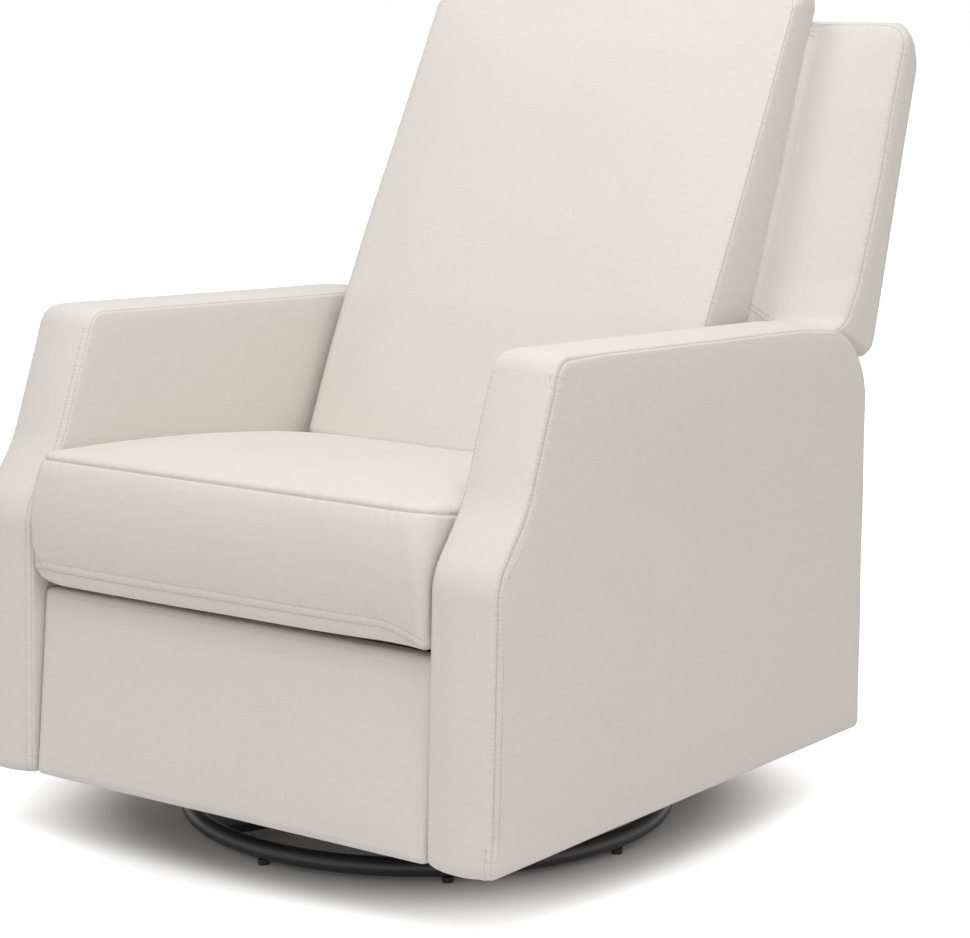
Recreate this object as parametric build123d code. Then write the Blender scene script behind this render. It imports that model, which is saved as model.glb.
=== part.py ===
from build123d import *
import os
from math import cos, radians, sin, tan

os.makedirs("parts", exist_ok=True)

# ---------------------------------------------------------------- driving sizes, in mm
# The chair faces -Y. "Setback" is the distance behind the plane of the arms' front edges.
# "Left" is the sitter's left, which is +X.

width = 762                 # over the arms
depth = 965                 # seat cushion's crown to the back's rear
height = 1016               # floor to the back cushion's top

fit_gap = 0.05              # radial clearance of a pin or bolt that turns in its hole
seat_gap = 0.02             # radial clearance of a pin or bolt that is fixed in its hole
soft_gap = 0.3              # clearance that keeps a soft piece off its neighbour
plate_thickness = 4         # steel links and side plates
lane_gap = 3                # side clearance between neighbouring links

# Swivel base
glide_height = 6.5
glide_radius = 6.5
glide_count = 8
glide_turn = -92.5          # direction of the first floor glide, in degrees from +X
ring_radius = 289           # to the middle of the tube
ring_tube_radius = 11
swivel_setback = 372
cross_arm_count = 4
cross_arm_turn = -115
cross_arm_width = 60
cross_arm_height = 10
cross_arm_wall = 3
cross_arm_gap = 1           # from each arm's inner end to the side of its neighbour
cross_rise = 6.5            # cross arm's top above the ring's middle
race_radius = 90
race_plate = 3
race_lip_radius = 80
race_lip_height = 3
race_lip_wall = 3
ball_radius = 4
ball_count = 12
ball_circle = 70
ball_play = 0.3
cage_thickness = 1.5
cage_width = 20
cage_lip_gap = 1
cage_play = 0.4
king_bolt_radius = 8
king_head_radius = 14
king_head_height = 8
king_nut_play = 0.5

# Turntable and glide links
strap_spacing = 110         # between the middles of the two straps
strap_width = 30
strap_thickness = 5
cross_rail_width = 30
cross_rail_height = 15
cross_rail_wall = 2
glide_spacing = 220         # between the front and rear links
glide_link_length = 95
glide_lower_pin_z = 90
glide_pin_radius = 5
glide_eye = 11
glide_head_radius = 7
glide_head_play = 0.3
mechanism_inset = 92        # from an arm's inner face to the glide posts' inner faces
post_base = 50
post_boss = 12
post_foot = 16
post_foot_thickness = 3

# Carriage: side plates, wooden rails and springs
seat_rail_top = 312
seat_rail_thickness = 15
seat_rail_front = 95
seat_rail_tail = 15         # beyond the recline hinge
seat_rail_play = 2
front_rail_front = 95
front_rail_depth = 25
front_rail_height = 45
rear_rail_ahead = 47        # ahead of the recline hinge
rear_rail_depth = 25
rear_rail_height = 40
side_plate_front = 90
side_plate_bottom = 118
side_plate_hole = 30
side_plate_hole_z = 180
side_plate_hole_spacing = 90
angle_leaf = 2.5
angle_length = 40
angle_drop = 30
angle_reach = 46
angle_front = 235
angle_ahead = 95            # rear angle's front edge, ahead of the recline hinge
cross_tube_setback = 400
cross_tube_z = 240
cross_tube_radius = 12
cross_tube_wall = 2
spring_room = 80            # least width that each spring takes
spring_inset = 54           # from a side plate to the middle of the nearest spring
spring_wire = 3.5
spring_amplitude = 32
spring_half_turns = 9
spring_clip_length = 16
spring_clip_thickness = 1.5

# Leg rest linkage, all of it in planes across X
drive_setback = 200
drive_z = 265
drive_radius = 9
idler_offset = (-50, 15)    # idler pivot from the drive tube
crank_length = 187
crank_closed_angle = 20     # rearward of straight down
upper_link_offset = 55      # upper link's pin from the crank's lower pin
leg_pin_radius = 4
leg_eye = 10
drive_eye = 15
carrier_tip = (-162, 150.7)    # footrest pin from the crank's lower pin

# Footrest panel
footrest_bottom = 79
footrest_foot_setback = 2
footrest_lean = 7.16
footrest_height = 226
footrest_pad = 30
footrest_board = 15
footrest_board_margin = 14
footrest_corner = 12
footrest_side_gap = 4
footrest_bracket_flange = 26
footrest_bracket_rises = (150, 210)

# Arms
arm_thickness = 93
arm_bottom = 79
arm_front_lean = 1.55       # degrees
arm_shoulder_z = 401        # where the front turns back
arm_shoulder_angle = 42
arm_neck_z = 455            # where the front turns up again
arm_neck_angle = 21
arm_top_front_z = 609.5
arm_top_fall = 2.0          # degrees, towards the rear
arm_rear_step = 188         # from the arms' rear faces to the back's rear
arm_shoulder_radius = 65
arm_neck_radius = 150
arm_front_radius = 36
arm_rear_radius = 100
arm_edge_radius = 9
arm_wall = 8
arm_panel = 12
arm_block = 40
arm_bolt_radius = 4
arm_bolt_head_radius = 7
arm_bolt_head_height = 3
arm_nut_height = 6
arm_bolt_front = 300
arm_bolt_tail = 35          # last bolt, ahead of the side rail's rear end
arm_bolt_count = 3

# Seat cushion
seat_side_gap = 6
seat_front_setback = 8
seat_front_bulge = 10       # how far its crown stands ahead of the arms
seat_crown = 18
seat_back_gap = 6           # from the seat cushion to the back cushion
seat_front_top = 455
seat_crown_top = 469
seat_crown_setback = 180
seat_rear_top = 429
seat_lower_seam = 335
seat_edge_radius = 14

# Backrest. "Ahead" is the distance in front of the back's rearmost edge.
recline_ahead = 390
recline_z = 290
recline_pin_radius = 6
recline_eye = 14
recline_bracket_depth = 26
recline_bracket_foot_z = 360
recline_bracket_top_z = 490
back_lean = 21.85           # of the cushion's rear plane, which carries the frame
back_plane_ahead = 301      # a point on that plane
back_plane_z = 592
back_side_gap = 12
back_cushion_bottom = 332
back_tuck_ahead = 474       # where the cushion's face meets the seat
back_tuck_z = 429
back_face_lean = 26.8
back_cushion_crown = 14
back_edge_radius = 14
cover_top_drop = 69         # from the cushion's top
cover_bottom_front_z = 345
cover_knee_ahead = 315
cover_knee_z = 280
cover_foot_ahead = 220
cover_foot_z = 165
cover_waist_z = 537
cover_rear_lean = 20
cover_corner = 45
cover_front_wall = 10
cover_wall = 8
wing_inset = 21             # from the arms' outer faces
wing_foot_ahead = 229
wing_foot_z = 582
wing_tip = 37               # depth of a wing's top edge
wing_sweep = 34
wing_rear_lean = 15.2
wing_rear_foot_z = 542
wing_inner_foot_ahead = 298
wing_inner_foot_z = 612
wing_inner_rear_foot_z = 560
wing_corner = 34
back_post_width = 40
back_post_depth = 28
back_rail_height = 60
back_rail_recess = 3
back_board = 15
back_rail_count = 3
webbing_width = 50
webbing_count = 5
webbing_thickness = 2

# Rear panel between the arms
rear_panel_top = 190
rear_panel_board = 12
rear_panel_pad = 5

# ---------------------------------------------------------------- sizes worked out
front_crown = -seat_front_bulge
arm_front_y = -depth / 2 - front_crown
back_rear = depth + front_crown
arm_inner_x = width / 2 - arm_thickness
arm_length = back_rear - arm_rear_step
ring_z = glide_height + ring_tube_radius
cross_top = ring_z + cross_rise
race_top = cross_top + race_plate
upper_race_z = race_top + 2 * ball_radius + ball_play
upper_race_top = upper_race_z + race_plate
cross_rail_z = upper_race_top + strap_thickness
cross_rail_top = cross_rail_z + cross_rail_height
glide_upper_pin_z = glide_lower_pin_z + glide_link_length
glide_setbacks = (swivel_setback - glide_spacing / 2, swivel_setback + glide_spacing / 2)
recline_setback = back_rear - recline_ahead
seat_rail_bottom = seat_rail_top - seat_rail_thickness
seat_rail_rear = recline_setback + seat_rail_tail
rear_rail_front = recline_setback - rear_rail_ahead
angle_setbacks = (angle_front, recline_setback - angle_ahead)
spring_rail_top = seat_rail_top - spring_wire - 2 * spring_clip_thickness
arm_bolt_pitch = (seat_rail_rear - arm_bolt_tail - arm_bolt_front) / (arm_bolt_count - 1)
arm_bolt_setbacks = [arm_bolt_front + number * arm_bolt_pitch for number in range(arm_bolt_count)]
footrest_half_width = arm_inner_x - footrest_side_gap
back_half_width = arm_inner_x - back_side_gap
back_tuck = (back_rear - back_tuck_ahead, back_tuck_z)
seat_rear_setback = back_tuck[0] - seat_back_gap
cover_top = height - cover_top_drop
wing_rear_max = back_rear - wing_sweep
post_inner_x = arm_inner_x - mechanism_inset


def lane(number):
    """Inner face of one of the planes that the plates and links run in."""
    return post_inner_x + number * (plate_thickness + lane_gap)


post_lane, glide_lane, plate_lane, crank_lane, carrier_lane, footrest_lane = (lane(n) for n in range(6))
seat_rail_inner_x = footrest_lane + plate_thickness + seat_rail_play
spring_count = int(2 * plate_lane / spring_room)


# ---------------------------------------------------------------- helpers

def side_plane(x):
    """A plane across X whose own axes are the setback and the height."""
    return Plane(origin=(x, arm_front_y, 0), x_dir=(0, 1, 0), z_dir=(1, 0, 0))


def slab(outline, x_from, x_to):
    """An outline in (setback, height) made solid between two X positions."""
    return extrude(side_plane(x_from) * outline, amount=x_to - x_from)


def rod(setback, z, radius, x_from, x_to):
    """A round bar along X."""
    return slab(Pos(setback, z) * Circle(radius), x_from, x_to)


def block(x_from, x_to, front, rear, bottom, top):
    """A box given by its limits, with its depth as setbacks."""
    size = (x_to - x_from, rear - front, top - bottom)
    middle = ((x_from + x_to) / 2, arm_front_y + (front + rear) / 2, (bottom + top) / 2)
    return Pos(*middle) * Box(*size)


def both_sides(solids):
    """The solids of one side, and their mirror images on the other."""
    return list(solids) + [mirror(solid, about=Plane.YZ) for solid in solids]


def corner_rounded(outline, point, radius):
    """The outline with the corner at a point made round."""
    return fillet(outline.vertices().sort_by_distance((*point, 0))[0], radius)


def filleted(points, radii):
    """A closed outline through the points, with one corner radius for each."""
    outline = make_face(Polyline(*points, close=True))
    for point, radius in zip(points, radii):
        if radius > 0:
            outline = corner_rounded(outline, point, radius)
    return outline


def bar(points, half_width):
    """A flat link: discs at the points, joined by straight sides in turn."""
    outline = Pos(*points[0]) * Circle(half_width)
    for start, end in zip(points, points[1:]):
        outline += Pos(*end) * Circle(half_width)
        across = Vector(end[0] - start[0], end[1] - start[1]).rotate(Axis.Z, 90).normalized() * half_width
        near, far = Vector(*start), Vector(*end)
        corners = [near + across, far + across, far - across, near - across]
        outline += make_face(Polyline(*corners, close=True))
    return outline


def drilled(outline, points, radius):
    """The outline with a round hole at each point."""
    for point in points:
        outline -= Pos(*point) * Circle(radius)
    return outline


def moved(point, offset):
    return (point[0] + offset[0], point[1] + offset[1])


def edge_rounded(solid, axis, radius):
    """Fillets the two end faces' rims of a solid extruded along an axis."""
    rims = solid.faces().sort_by(axis)[0].edges() + solid.faces().sort_by(axis)[-1].edges()
    return fillet(rims, radius)


def write(name, solids):
    """One STEP file for one sub-part, which may be a group of like solids."""
    shape = Compound(children=list(solids)) if isinstance(solids, (list, tuple)) else solids
    export_step(shape, f"parts/{name}.step")


swivel_centre = Pos(0, arm_front_y + swivel_setback, 0)


# ---------------------------------------------------------------- swivel base

def base_ring():
    return swivel_centre * Pos(0, 0, ring_z) * Torus(ring_radius, ring_tube_radius)


def floor_glides():
    """Plastic discs under the ring; each has a short stem hidden in the tube's wall."""
    disc = Cylinder(glide_radius, glide_height, align=(Align.CENTER, Align.CENTER, Align.MIN))
    discs = []
    for number in range(glide_count):
        turn = Rot(0, 0, glide_turn + number * 360 / glide_count)
        discs.append(swivel_centre * turn * Pos(ring_radius, 0, 0) * disc)
    return discs


def cross_arms():
    """Pressed channels from the middle to the ring, coped to sit on the tube."""
    start = cross_arm_width / 2 + cross_arm_gap
    length = ring_radius - start
    middle = (start + length / 2, 0, cross_top - cross_arm_height / 2)
    channel = Pos(*middle) * Box(length, cross_arm_width, cross_arm_height)
    hollow_height = cross_arm_height - cross_arm_wall
    hollow = Box(length, cross_arm_width - 2 * cross_arm_wall, hollow_height)
    channel -= Pos(middle[0], 0, cross_top - cross_arm_height + hollow_height / 2) * hollow
    channel -= Pos(0, 0, ring_z) * Torus(ring_radius, ring_tube_radius)
    channel = channel.solids().sort_by(SortBy.VOLUME)[-1]
    turns = [cross_arm_turn + number * 360 / cross_arm_count for number in range(cross_arm_count)]
    return [swivel_centre * Rot(0, 0, turn) * channel for turn in turns]


def disc_between(radius, bottom, top, hole=0):
    face = Circle(radius) - Circle(hole) if hole else Circle(radius)
    return swivel_centre * extrude(Pos(0, 0, bottom) * face, top - bottom)


def lower_race():
    plate = disc_between(race_radius, cross_top, race_top, king_bolt_radius + seat_gap)
    lip = disc_between(race_lip_radius + race_lip_wall, race_top, race_top + race_lip_height, race_lip_radius)
    return plate + lip


def ball_places():
    turns = [Rot(0, 0, number * 360 / ball_count) for number in range(ball_count)]
    return [swivel_centre * turn * Pos(ball_circle, 0, 0) for turn in turns]


def race_balls():
    return [place * Pos(0, 0, race_top + ball_radius) * Sphere(ball_radius) for place in ball_places()]


def ball_cage():
    bottom = race_top + ball_radius - cage_thickness / 2
    outer = race_lip_radius - cage_lip_gap
    cage = disc_between(outer, bottom, bottom + cage_thickness, outer - cage_width)
    pocket = Pos(0, 0, race_top + ball_radius) * Cylinder(ball_radius + cage_play, 2 * cage_thickness)
    for place in ball_places():
        cage -= place * pocket
    return cage


def king_bolt():
    """Bolt with a round head under the lower race and a nut over the upper one."""
    nut_bottom = upper_race_top + king_nut_play
    head = disc_between(king_head_radius, cross_top - king_head_height, cross_top)
    shank = disc_between(king_bolt_radius, cross_top, nut_bottom)
    nut = extrude(Pos(0, 0, nut_bottom) * RegularPolygon(king_head_radius, 6), king_head_height)
    return head + shank + swivel_centre * nut


# ---------------------------------------------------------------- turntable

def upper_race():
    return disc_between(race_radius, upper_race_z, upper_race_top, king_bolt_radius + fit_gap)


def turntable_straps():
    front = glide_setbacks[0] - cross_rail_width / 2
    rear = glide_setbacks[1] + cross_rail_width / 2
    inner = (strap_spacing - strap_width) / 2
    return both_sides([block(inner, inner + strap_width, front, rear, upper_race_top, cross_rail_z)])


def cross_rails():
    rails = []
    for setback in glide_setbacks:
        half = cross_rail_width / 2
        outer = block(-post_lane, post_lane, setback - half, setback + half, cross_rail_z, cross_rail_top)
        wall = cross_rail_wall
        front, rear = setback - half + wall, setback + half - wall
        inner = block(-post_lane, post_lane, front, rear, cross_rail_z + wall, cross_rail_top - wall)
        rails.append(outer - inner)
    return rails


def glide_posts():
    """Tapered plates on one side, each with a foot bent over the cross rail."""
    posts = []
    for setback in glide_setbacks:
        top = (setback, glide_upper_pin_z)
        foot = [(setback - post_base / 2, cross_rail_z), (setback + post_base / 2, cross_rail_z)]
        sides = [moved(top, (post_boss, 0)), moved(top, (-post_boss, 0))]
        outline = make_face(Polyline(*foot, *sides, close=True)) + Pos(*top) * Circle(post_boss)
        outline = drilled(outline, [top], glide_pin_radius + seat_gap)
        plate = slab(outline, post_lane, post_lane + plate_thickness)
        front, rear = setback - cross_rail_width / 2, setback + cross_rail_width / 2
        foot_top = cross_rail_top + post_foot_thickness
        plate += block(post_lane - post_foot, post_lane, front, rear, cross_rail_top, foot_top)
        posts.append(plate)
    return posts


def glide_upper_pins():
    pins = []
    for setback in glide_setbacks:
        reach = glide_lane + plate_thickness + glide_head_play
        pin = rod(setback, glide_upper_pin_z, glide_pin_radius, post_lane, reach)
        pin += rod(setback, glide_upper_pin_z, glide_head_radius, reach, plate_lane - 2 * glide_head_play)
        pins.append(pin)
    return both_sides(pins)


def glide_link(setback):
    ends = [(setback, glide_upper_pin_z), (setback, glide_lower_pin_z)]
    outline = drilled(bar(ends, glide_eye), ends, glide_pin_radius + fit_gap)
    return slab(outline, glide_lane, glide_lane + plate_thickness)


# ---------------------------------------------------------------- carriage

drive = (drive_setback, drive_z)
idler = moved(drive, idler_offset)
recline = (recline_setback, recline_z)
glide_feet = [(setback, glide_lower_pin_z) for setback in glide_setbacks]


def side_plate():
    """Flat plate that carries the seat rails, the linkage and the recline hinge."""
    top = seat_rail_bottom
    low_front, low_rear = glide_feet
    step = side_plate_bottom - glide_lower_pin_z
    outline = make_face(Polyline(
        (side_plate_front, top),
        (side_plate_front, top - front_rail_height),
        moved(low_front, (-glide_eye, 0)),
        moved(low_front, (glide_eye, 0)),
        moved(low_front, (glide_eye + step, step)),
        moved(low_rear, (-glide_eye - step, step)),
        moved(low_rear, (-glide_eye, 0)),
        moved(low_rear, (glide_eye, 0)),
        moved(recline, (recline_eye, 0)),
        moved(recline, (0, recline_eye)),
        (recline_setback - recline_eye, top),
        close=True))
    for foot in glide_feet:
        outline += Pos(*foot) * Circle(glide_eye)
    outline += Pos(*recline) * Circle(recline_eye)
    outline = drilled(outline, glide_feet, glide_pin_radius + seat_gap)
    outline = drilled(outline, [drive], drive_radius + fit_gap)
    outline = drilled(outline, [idler], leg_pin_radius + seat_gap)
    outline = drilled(outline, [recline], recline_pin_radius + seat_gap)
    outline = drilled(outline, [(cross_tube_setback, cross_tube_z)], cross_tube_radius + seat_gap)
    for side in (-1, 1):
        middle = swivel_setback + side * side_plate_hole_spacing / 2
        outline -= Pos(middle, side_plate_hole_z) * Circle(side_plate_hole)
    return slab(outline, plate_lane, plate_lane + plate_thickness)


def glide_lower_pins():
    pins = []
    for setback, z in glide_feet:
        neck = glide_lane - glide_head_play
        pin = rod(setback, z, glide_pin_radius, neck, plate_lane + plate_thickness)
        pin += rod(setback, z, glide_head_radius, post_lane + plate_thickness + 2 * glide_head_play, neck)
        pins.append(pin)
    return both_sides(pins)


def cross_tube():
    outer = plate_lane + plate_thickness
    tube = rod(cross_tube_setback, cross_tube_z, cross_tube_radius, -outer, outer)
    return tube - rod(cross_tube_setback, cross_tube_z, cross_tube_radius - cross_tube_wall, -outer, outer)


def idler_pivots():
    return both_sides([rod(*idler, leg_pin_radius, plate_lane, crank_lane + plate_thickness)])


def recline_pivots():
    return both_sides([rod(*recline, recline_pin_radius, plate_lane, crank_lane + plate_thickness)])


def rail_angles():
    """Bent brackets that carry the wooden side rails on the side plates."""
    angles = []
    leaf_x = plate_lane + plate_thickness
    for setback in angle_setbacks:
        rear, top = setback + angle_length, seat_rail_bottom
        leaf = block(leaf_x, leaf_x + angle_leaf, setback, rear, top - angle_drop, top)
        shelf = block(leaf_x, leaf_x + angle_reach, setback, rear, top - angle_leaf, top)
        angles.append(leaf + shelf)
    return both_sides(angles)


def side_rail():
    front, rear = seat_rail_front, seat_rail_rear
    rail = block(seat_rail_inner_x, arm_inner_x, front, rear, seat_rail_bottom, seat_rail_top)
    for setback in arm_bolt_setbacks:
        middle = (seat_rail_bottom + seat_rail_top) / 2
        rail -= rod(setback, middle, arm_bolt_radius + seat_gap, seat_rail_inner_x, arm_inner_x)
    return rail


def front_rail():
    rear = front_rail_front + front_rail_depth
    bottom = spring_rail_top - front_rail_height
    return block(-plate_lane, plate_lane, front_rail_front, rear, bottom, spring_rail_top)


def rear_rail():
    rear = rear_rail_front + rear_rail_depth
    bottom = spring_rail_top - rear_rail_height
    return block(-plate_lane, plate_lane, rear_rail_front, rear, bottom, spring_rail_top)


def spring_places():
    last = plate_lane - spring_inset
    return [number * 2 * last / (spring_count - 1) - last for number in range(spring_count)]


spring_ends = (front_rail_front + front_rail_depth / 2, rear_rail_front + rear_rail_depth / 2)
spring_z = spring_rail_top + spring_clip_thickness + spring_wire / 2


def seat_spring(x):
    """Sinuous spring: bars across the seat joined by half turns at alternate sides."""
    front, rear = (arm_front_y + end for end in spring_ends)
    pitch = (rear - front) / spring_half_turns
    straight = spring_amplitude - pitch / 2
    path = []
    for number in range(spring_half_turns):
        side = 1 if number % 2 == 0 else -1
        near, far = front + number * pitch, front + (number + 1) * pitch
        path.append(Line((-side * straight, near), (side * straight, near)))
        path.append(ThreePointArc((side * straight, near), (side * spring_amplitude, (near + far) / 2),
                                  (side * straight, far)))
    last = 1 if spring_half_turns % 2 == 0 else -1
    path.append(Line((-last * straight, rear), (last * straight, rear)))
    section = Plane(origin=(-straight, front, 0), z_dir=(1, 0, 0)) * Rectangle(spring_wire, spring_wire)
    return Pos(x, 0, spring_z) * sweep(section, path=Wire([line.edge() for line in path]))


def spring_clips():
    """Staples that hold each spring's end bars on the front and rear rails."""
    clips = []
    tunnel = spring_wire + 2 * soft_gap
    height = 2 * spring_clip_thickness + spring_wire
    for x in spring_places():
        for setback in spring_ends:
            middle = Pos(x, arm_front_y + setback, spring_rail_top + height / 2)
            clip = Box(spring_clip_length, tunnel + 4 * spring_clip_thickness, height)
            clips.append(middle * (clip - Box(spring_clip_length, tunnel, spring_wire)))
    return clips


# ---------------------------------------------------------------- leg rest linkage

def crank_swing(point, length):
    """Where a crank hung from the point reaches in the closed position."""
    angle = radians(crank_closed_angle)
    return (point[0] + length * sin(angle), point[1] - length * cos(angle))


crank_foot = crank_swing(drive, crank_length)
upper_foot = crank_swing(drive, crank_length - upper_link_offset)
idler_foot = crank_swing(idler, crank_length)
carrier_head = moved(crank_foot, carrier_tip)
upper_head = moved(upper_foot, carrier_tip)


def drive_tube():
    """Tube that joins the two drive cranks through both side plates."""
    outer = crank_lane + plate_thickness
    return rod(*drive, drive_radius, -outer, outer)


def drive_crank():
    outline = bar([drive, crank_foot], leg_eye) + Pos(*drive) * Circle(drive_eye)
    outline = drilled(outline, [drive], drive_radius + seat_gap)
    outline = drilled(outline, [crank_foot, upper_foot], leg_pin_radius + seat_gap)
    return slab(outline, crank_lane, crank_lane + plate_thickness)


def crank_pins():
    reach = carrier_lane + plate_thickness
    return both_sides([rod(*place, leg_pin_radius, crank_lane, reach) for place in (crank_foot, upper_foot)])


def idler_crank():
    """Flat link with its lower pin riveted in."""
    outline = drilled(bar([idler, idler_foot], leg_eye), [idler], leg_pin_radius + fit_gap)
    link = slab(outline, crank_lane, crank_lane + plate_thickness)
    pin = rod(*idler_foot, leg_pin_radius, crank_lane + plate_thickness, carrier_lane + plate_thickness)
    return link + pin


def carrier_link():
    """Bent plate that stays level while the two cranks swing it forward."""
    outline = bar([carrier_head, crank_foot, idler_foot, carrier_head], leg_eye)
    outline = drilled(outline, [crank_foot, idler_foot, carrier_head], leg_pin_radius + fit_gap)
    return slab(outline, carrier_lane, carrier_lane + plate_thickness)


def upper_link():
    outline = bar([upper_foot, upper_head], leg_eye)
    outline = drilled(outline, [upper_foot, upper_head], leg_pin_radius + fit_gap)
    return slab(outline, carrier_lane, carrier_lane + plate_thickness)


def footrest_point(depth_in, rise):
    """A point in the leaning panel: how far behind its face, how far up its face."""
    lean = radians(footrest_lean)
    setback = footrest_foot_setback + depth_in * cos(lean) + rise * sin(lean)
    return (setback, footrest_bottom + rise * cos(lean) + (footrest_pad - depth_in) * sin(lean))


def footrest_slice(depth_from, depth_to, rise_from, rise_to):
    corners = [(depth_from, rise_from), (depth_to, rise_from), (depth_to, rise_to), (depth_from, rise_to)]
    return [footrest_point(*corner) for corner in corners]


def footrest_cushion():
    radii = [footrest_corner, 0, 0, footrest_corner]
    outline = filleted(footrest_slice(0, footrest_pad, 0, footrest_height), radii)
    return slab(outline, -footrest_half_width, footrest_half_width)


def footrest_panel():
    margin = footrest_board_margin
    rear = footrest_pad + footrest_board
    outline = footrest_slice(footrest_pad, rear, margin, footrest_height - margin)
    half = footrest_half_width - margin
    return slab(make_face(Polyline(*outline, close=True)), -half, half)


def footrest_brackets():
    """Angle brackets behind the panel that carry its four pins."""
    board_rear = footrest_pad + footrest_board
    roots = [footrest_point(board_rear, rise) for rise in footrest_bracket_rises]
    inner, outer = footrest_lane, footrest_lane + plate_thickness
    web = make_face(Polyline(roots[0], carrier_head, upper_head, roots[1], close=True))
    web += bar([carrier_head, upper_head], leg_eye)
    web = drilled(web, [carrier_head, upper_head], leg_pin_radius + seat_gap)
    flange_outline = footrest_slice(board_rear, board_rear + plate_thickness, *footrest_bracket_rises)
    flange = slab(make_face(Polyline(*flange_outline, close=True)), inner, inner + footrest_bracket_flange)
    return both_sides([slab(web, inner, outer) + flange])


def footrest_pins():
    places = (carrier_head, upper_head)
    reach = footrest_lane + plate_thickness
    return both_sides([rod(*place, leg_pin_radius, carrier_lane, reach) for place in places])


# ---------------------------------------------------------------- arms

def arm_outline():
    """Side view of an arm, from the front's foot upwards and round to the rear."""
    shoulder = ((arm_shoulder_z - arm_bottom) * tan(radians(arm_front_lean)), arm_shoulder_z)
    rise = arm_neck_z - arm_shoulder_z
    neck = (shoulder[0] + rise * tan(radians(arm_shoulder_angle)), arm_neck_z)
    rise = arm_top_front_z - arm_neck_z
    top_front = (neck[0] + rise * tan(radians(arm_neck_angle)), arm_top_front_z)
    fall = (arm_length - top_front[0]) * tan(radians(arm_top_fall))
    points = [(0, arm_bottom), shoulder, neck, top_front,
              (arm_length, arm_top_front_z - fall), (arm_length, arm_bottom)]
    radii = [0, arm_shoulder_radius, arm_neck_radius, arm_front_radius, arm_rear_radius, 0]
    return filleted(points, radii)


def arm_hollow():
    """The frame's outline inside the cover, running out through the open underside."""
    inner = offset(arm_outline(), amount=-arm_wall)
    foot = Rectangle(arm_length - 2 * arm_wall, 2 * arm_wall)
    return inner + Pos(arm_length / 2, arm_bottom + arm_wall) * foot


arm_outer_x = width / 2
arm_bolt_z = (seat_rail_bottom + seat_rail_top) / 2


def arm_cover():
    """Upholstered shell, open underneath where the fabric is stapled to the frame."""
    cover = edge_rounded(slab(arm_outline(), arm_inner_x, arm_outer_x), Axis.X, arm_edge_radius)
    cover -= slab(arm_hollow(), arm_inner_x + arm_wall, arm_outer_x - arm_wall)
    for setback in arm_bolt_setbacks:
        cover -= rod(setback, arm_bolt_z, arm_bolt_radius + seat_gap, arm_inner_x, arm_inner_x + arm_wall)
    return cover


def arm_frame():
    """Two plywood sides with posts and rails between them."""
    inner_x = arm_inner_x + arm_wall
    outer_x = arm_outer_x - arm_wall
    inner_side = slab(arm_hollow(), inner_x, inner_x + arm_panel)
    for setback in arm_bolt_setbacks:
        inner_side -= rod(setback, arm_bolt_z, arm_bolt_radius + seat_gap, inner_x, inner_x + arm_panel)
    outer_side = slab(arm_hollow(), outer_x - arm_panel, outer_x)
    x_from, x_to = inner_x + arm_panel, outer_x - arm_panel
    front, rear = 2 * arm_wall, arm_length - arm_wall
    post_foot_z, post_top = arm_bottom + arm_block, arm_shoulder_z - 2 * arm_block
    front_post = block(x_from, x_to, front, front + arm_block, post_foot_z, post_top)
    rear_post = block(x_from, x_to, rear - arm_block, rear, post_foot_z, post_top)
    bottom_rail = block(x_from, x_to, front, rear, arm_bottom, post_foot_z)
    middle_rail = block(x_from, x_to, front, rear, post_top, post_top + arm_block)
    top_level = arm_top_front_z - arm_length * tan(radians(arm_top_fall)) - arm_wall
    top_front = arm_front_radius + arm_rear_radius
    top_rail = block(x_from, x_to, top_front, rear - arm_rear_radius, top_level - arm_block, top_level)
    return [inner_side, outer_side, front_post, rear_post, bottom_rail, middle_rail, top_rail]


def arm_bolts():
    """Bolts from the side rails into nuts inside the arm frames."""
    bolts = []
    nut_x = arm_inner_x + arm_wall + arm_panel
    head_x = seat_rail_inner_x - arm_bolt_head_height
    for setback in arm_bolt_setbacks:
        bolt = rod(setback, arm_bolt_z, arm_bolt_head_radius, head_x, seat_rail_inner_x)
        bolt += rod(setback, arm_bolt_z, arm_bolt_radius, seat_rail_inner_x, nut_x)
        bolt += rod(setback, arm_bolt_z, arm_bolt_head_radius, nut_x, nut_x + arm_nut_height)
        bolts.append(bolt)
    return both_sides(bolts)


# ---------------------------------------------------------------- seat cushion

def seat_cushion():
    bottom = seat_rail_top + soft_gap
    nose = (seat_front_setback, seat_front_top)
    heel = (seat_rear_setback, seat_rear_top)
    chin = (seat_front_setback, seat_lower_seam)
    foot = (seat_front_setback + seat_crown, bottom)
    crown = (seat_crown_setback, seat_crown_top)
    front_middle = (front_crown, (seat_front_top + seat_lower_seam) / 2)
    outline = make_face(Wire([
        Line(foot, (seat_rear_setback, bottom)),
        Line((seat_rear_setback, bottom), heel),
        ThreePointArc(heel, crown, nose),
        ThreePointArc(nose, front_middle, chin),
        Line(chin, foot),
    ]))
    half = arm_inner_x - seat_side_gap
    return edge_rounded(slab(outline, -half, half), Axis.X, seat_edge_radius)


# ---------------------------------------------------------------- backrest

back_plane_setback = back_rear - back_plane_ahead
back_plane = Plane(origin=(0, arm_front_y + back_plane_setback, back_plane_z),
                   x_dir=(0, cos(radians(back_lean)), -sin(radians(back_lean))), z_dir=(1, 0, 0))


def back_slab(x_from, x_to, depth_from, depth_to, rise_from, rise_to):
    """A board that lies along the leaning back, by its depth and rise there."""
    size = (depth_to - depth_from, rise_to - rise_from)
    middle = ((depth_from + depth_to) / 2, (rise_from + rise_to) / 2)
    plane = back_plane.offset(x_from)
    return extrude(plane * Pos(*middle) * Rectangle(*size), amount=x_to - x_from)


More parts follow.
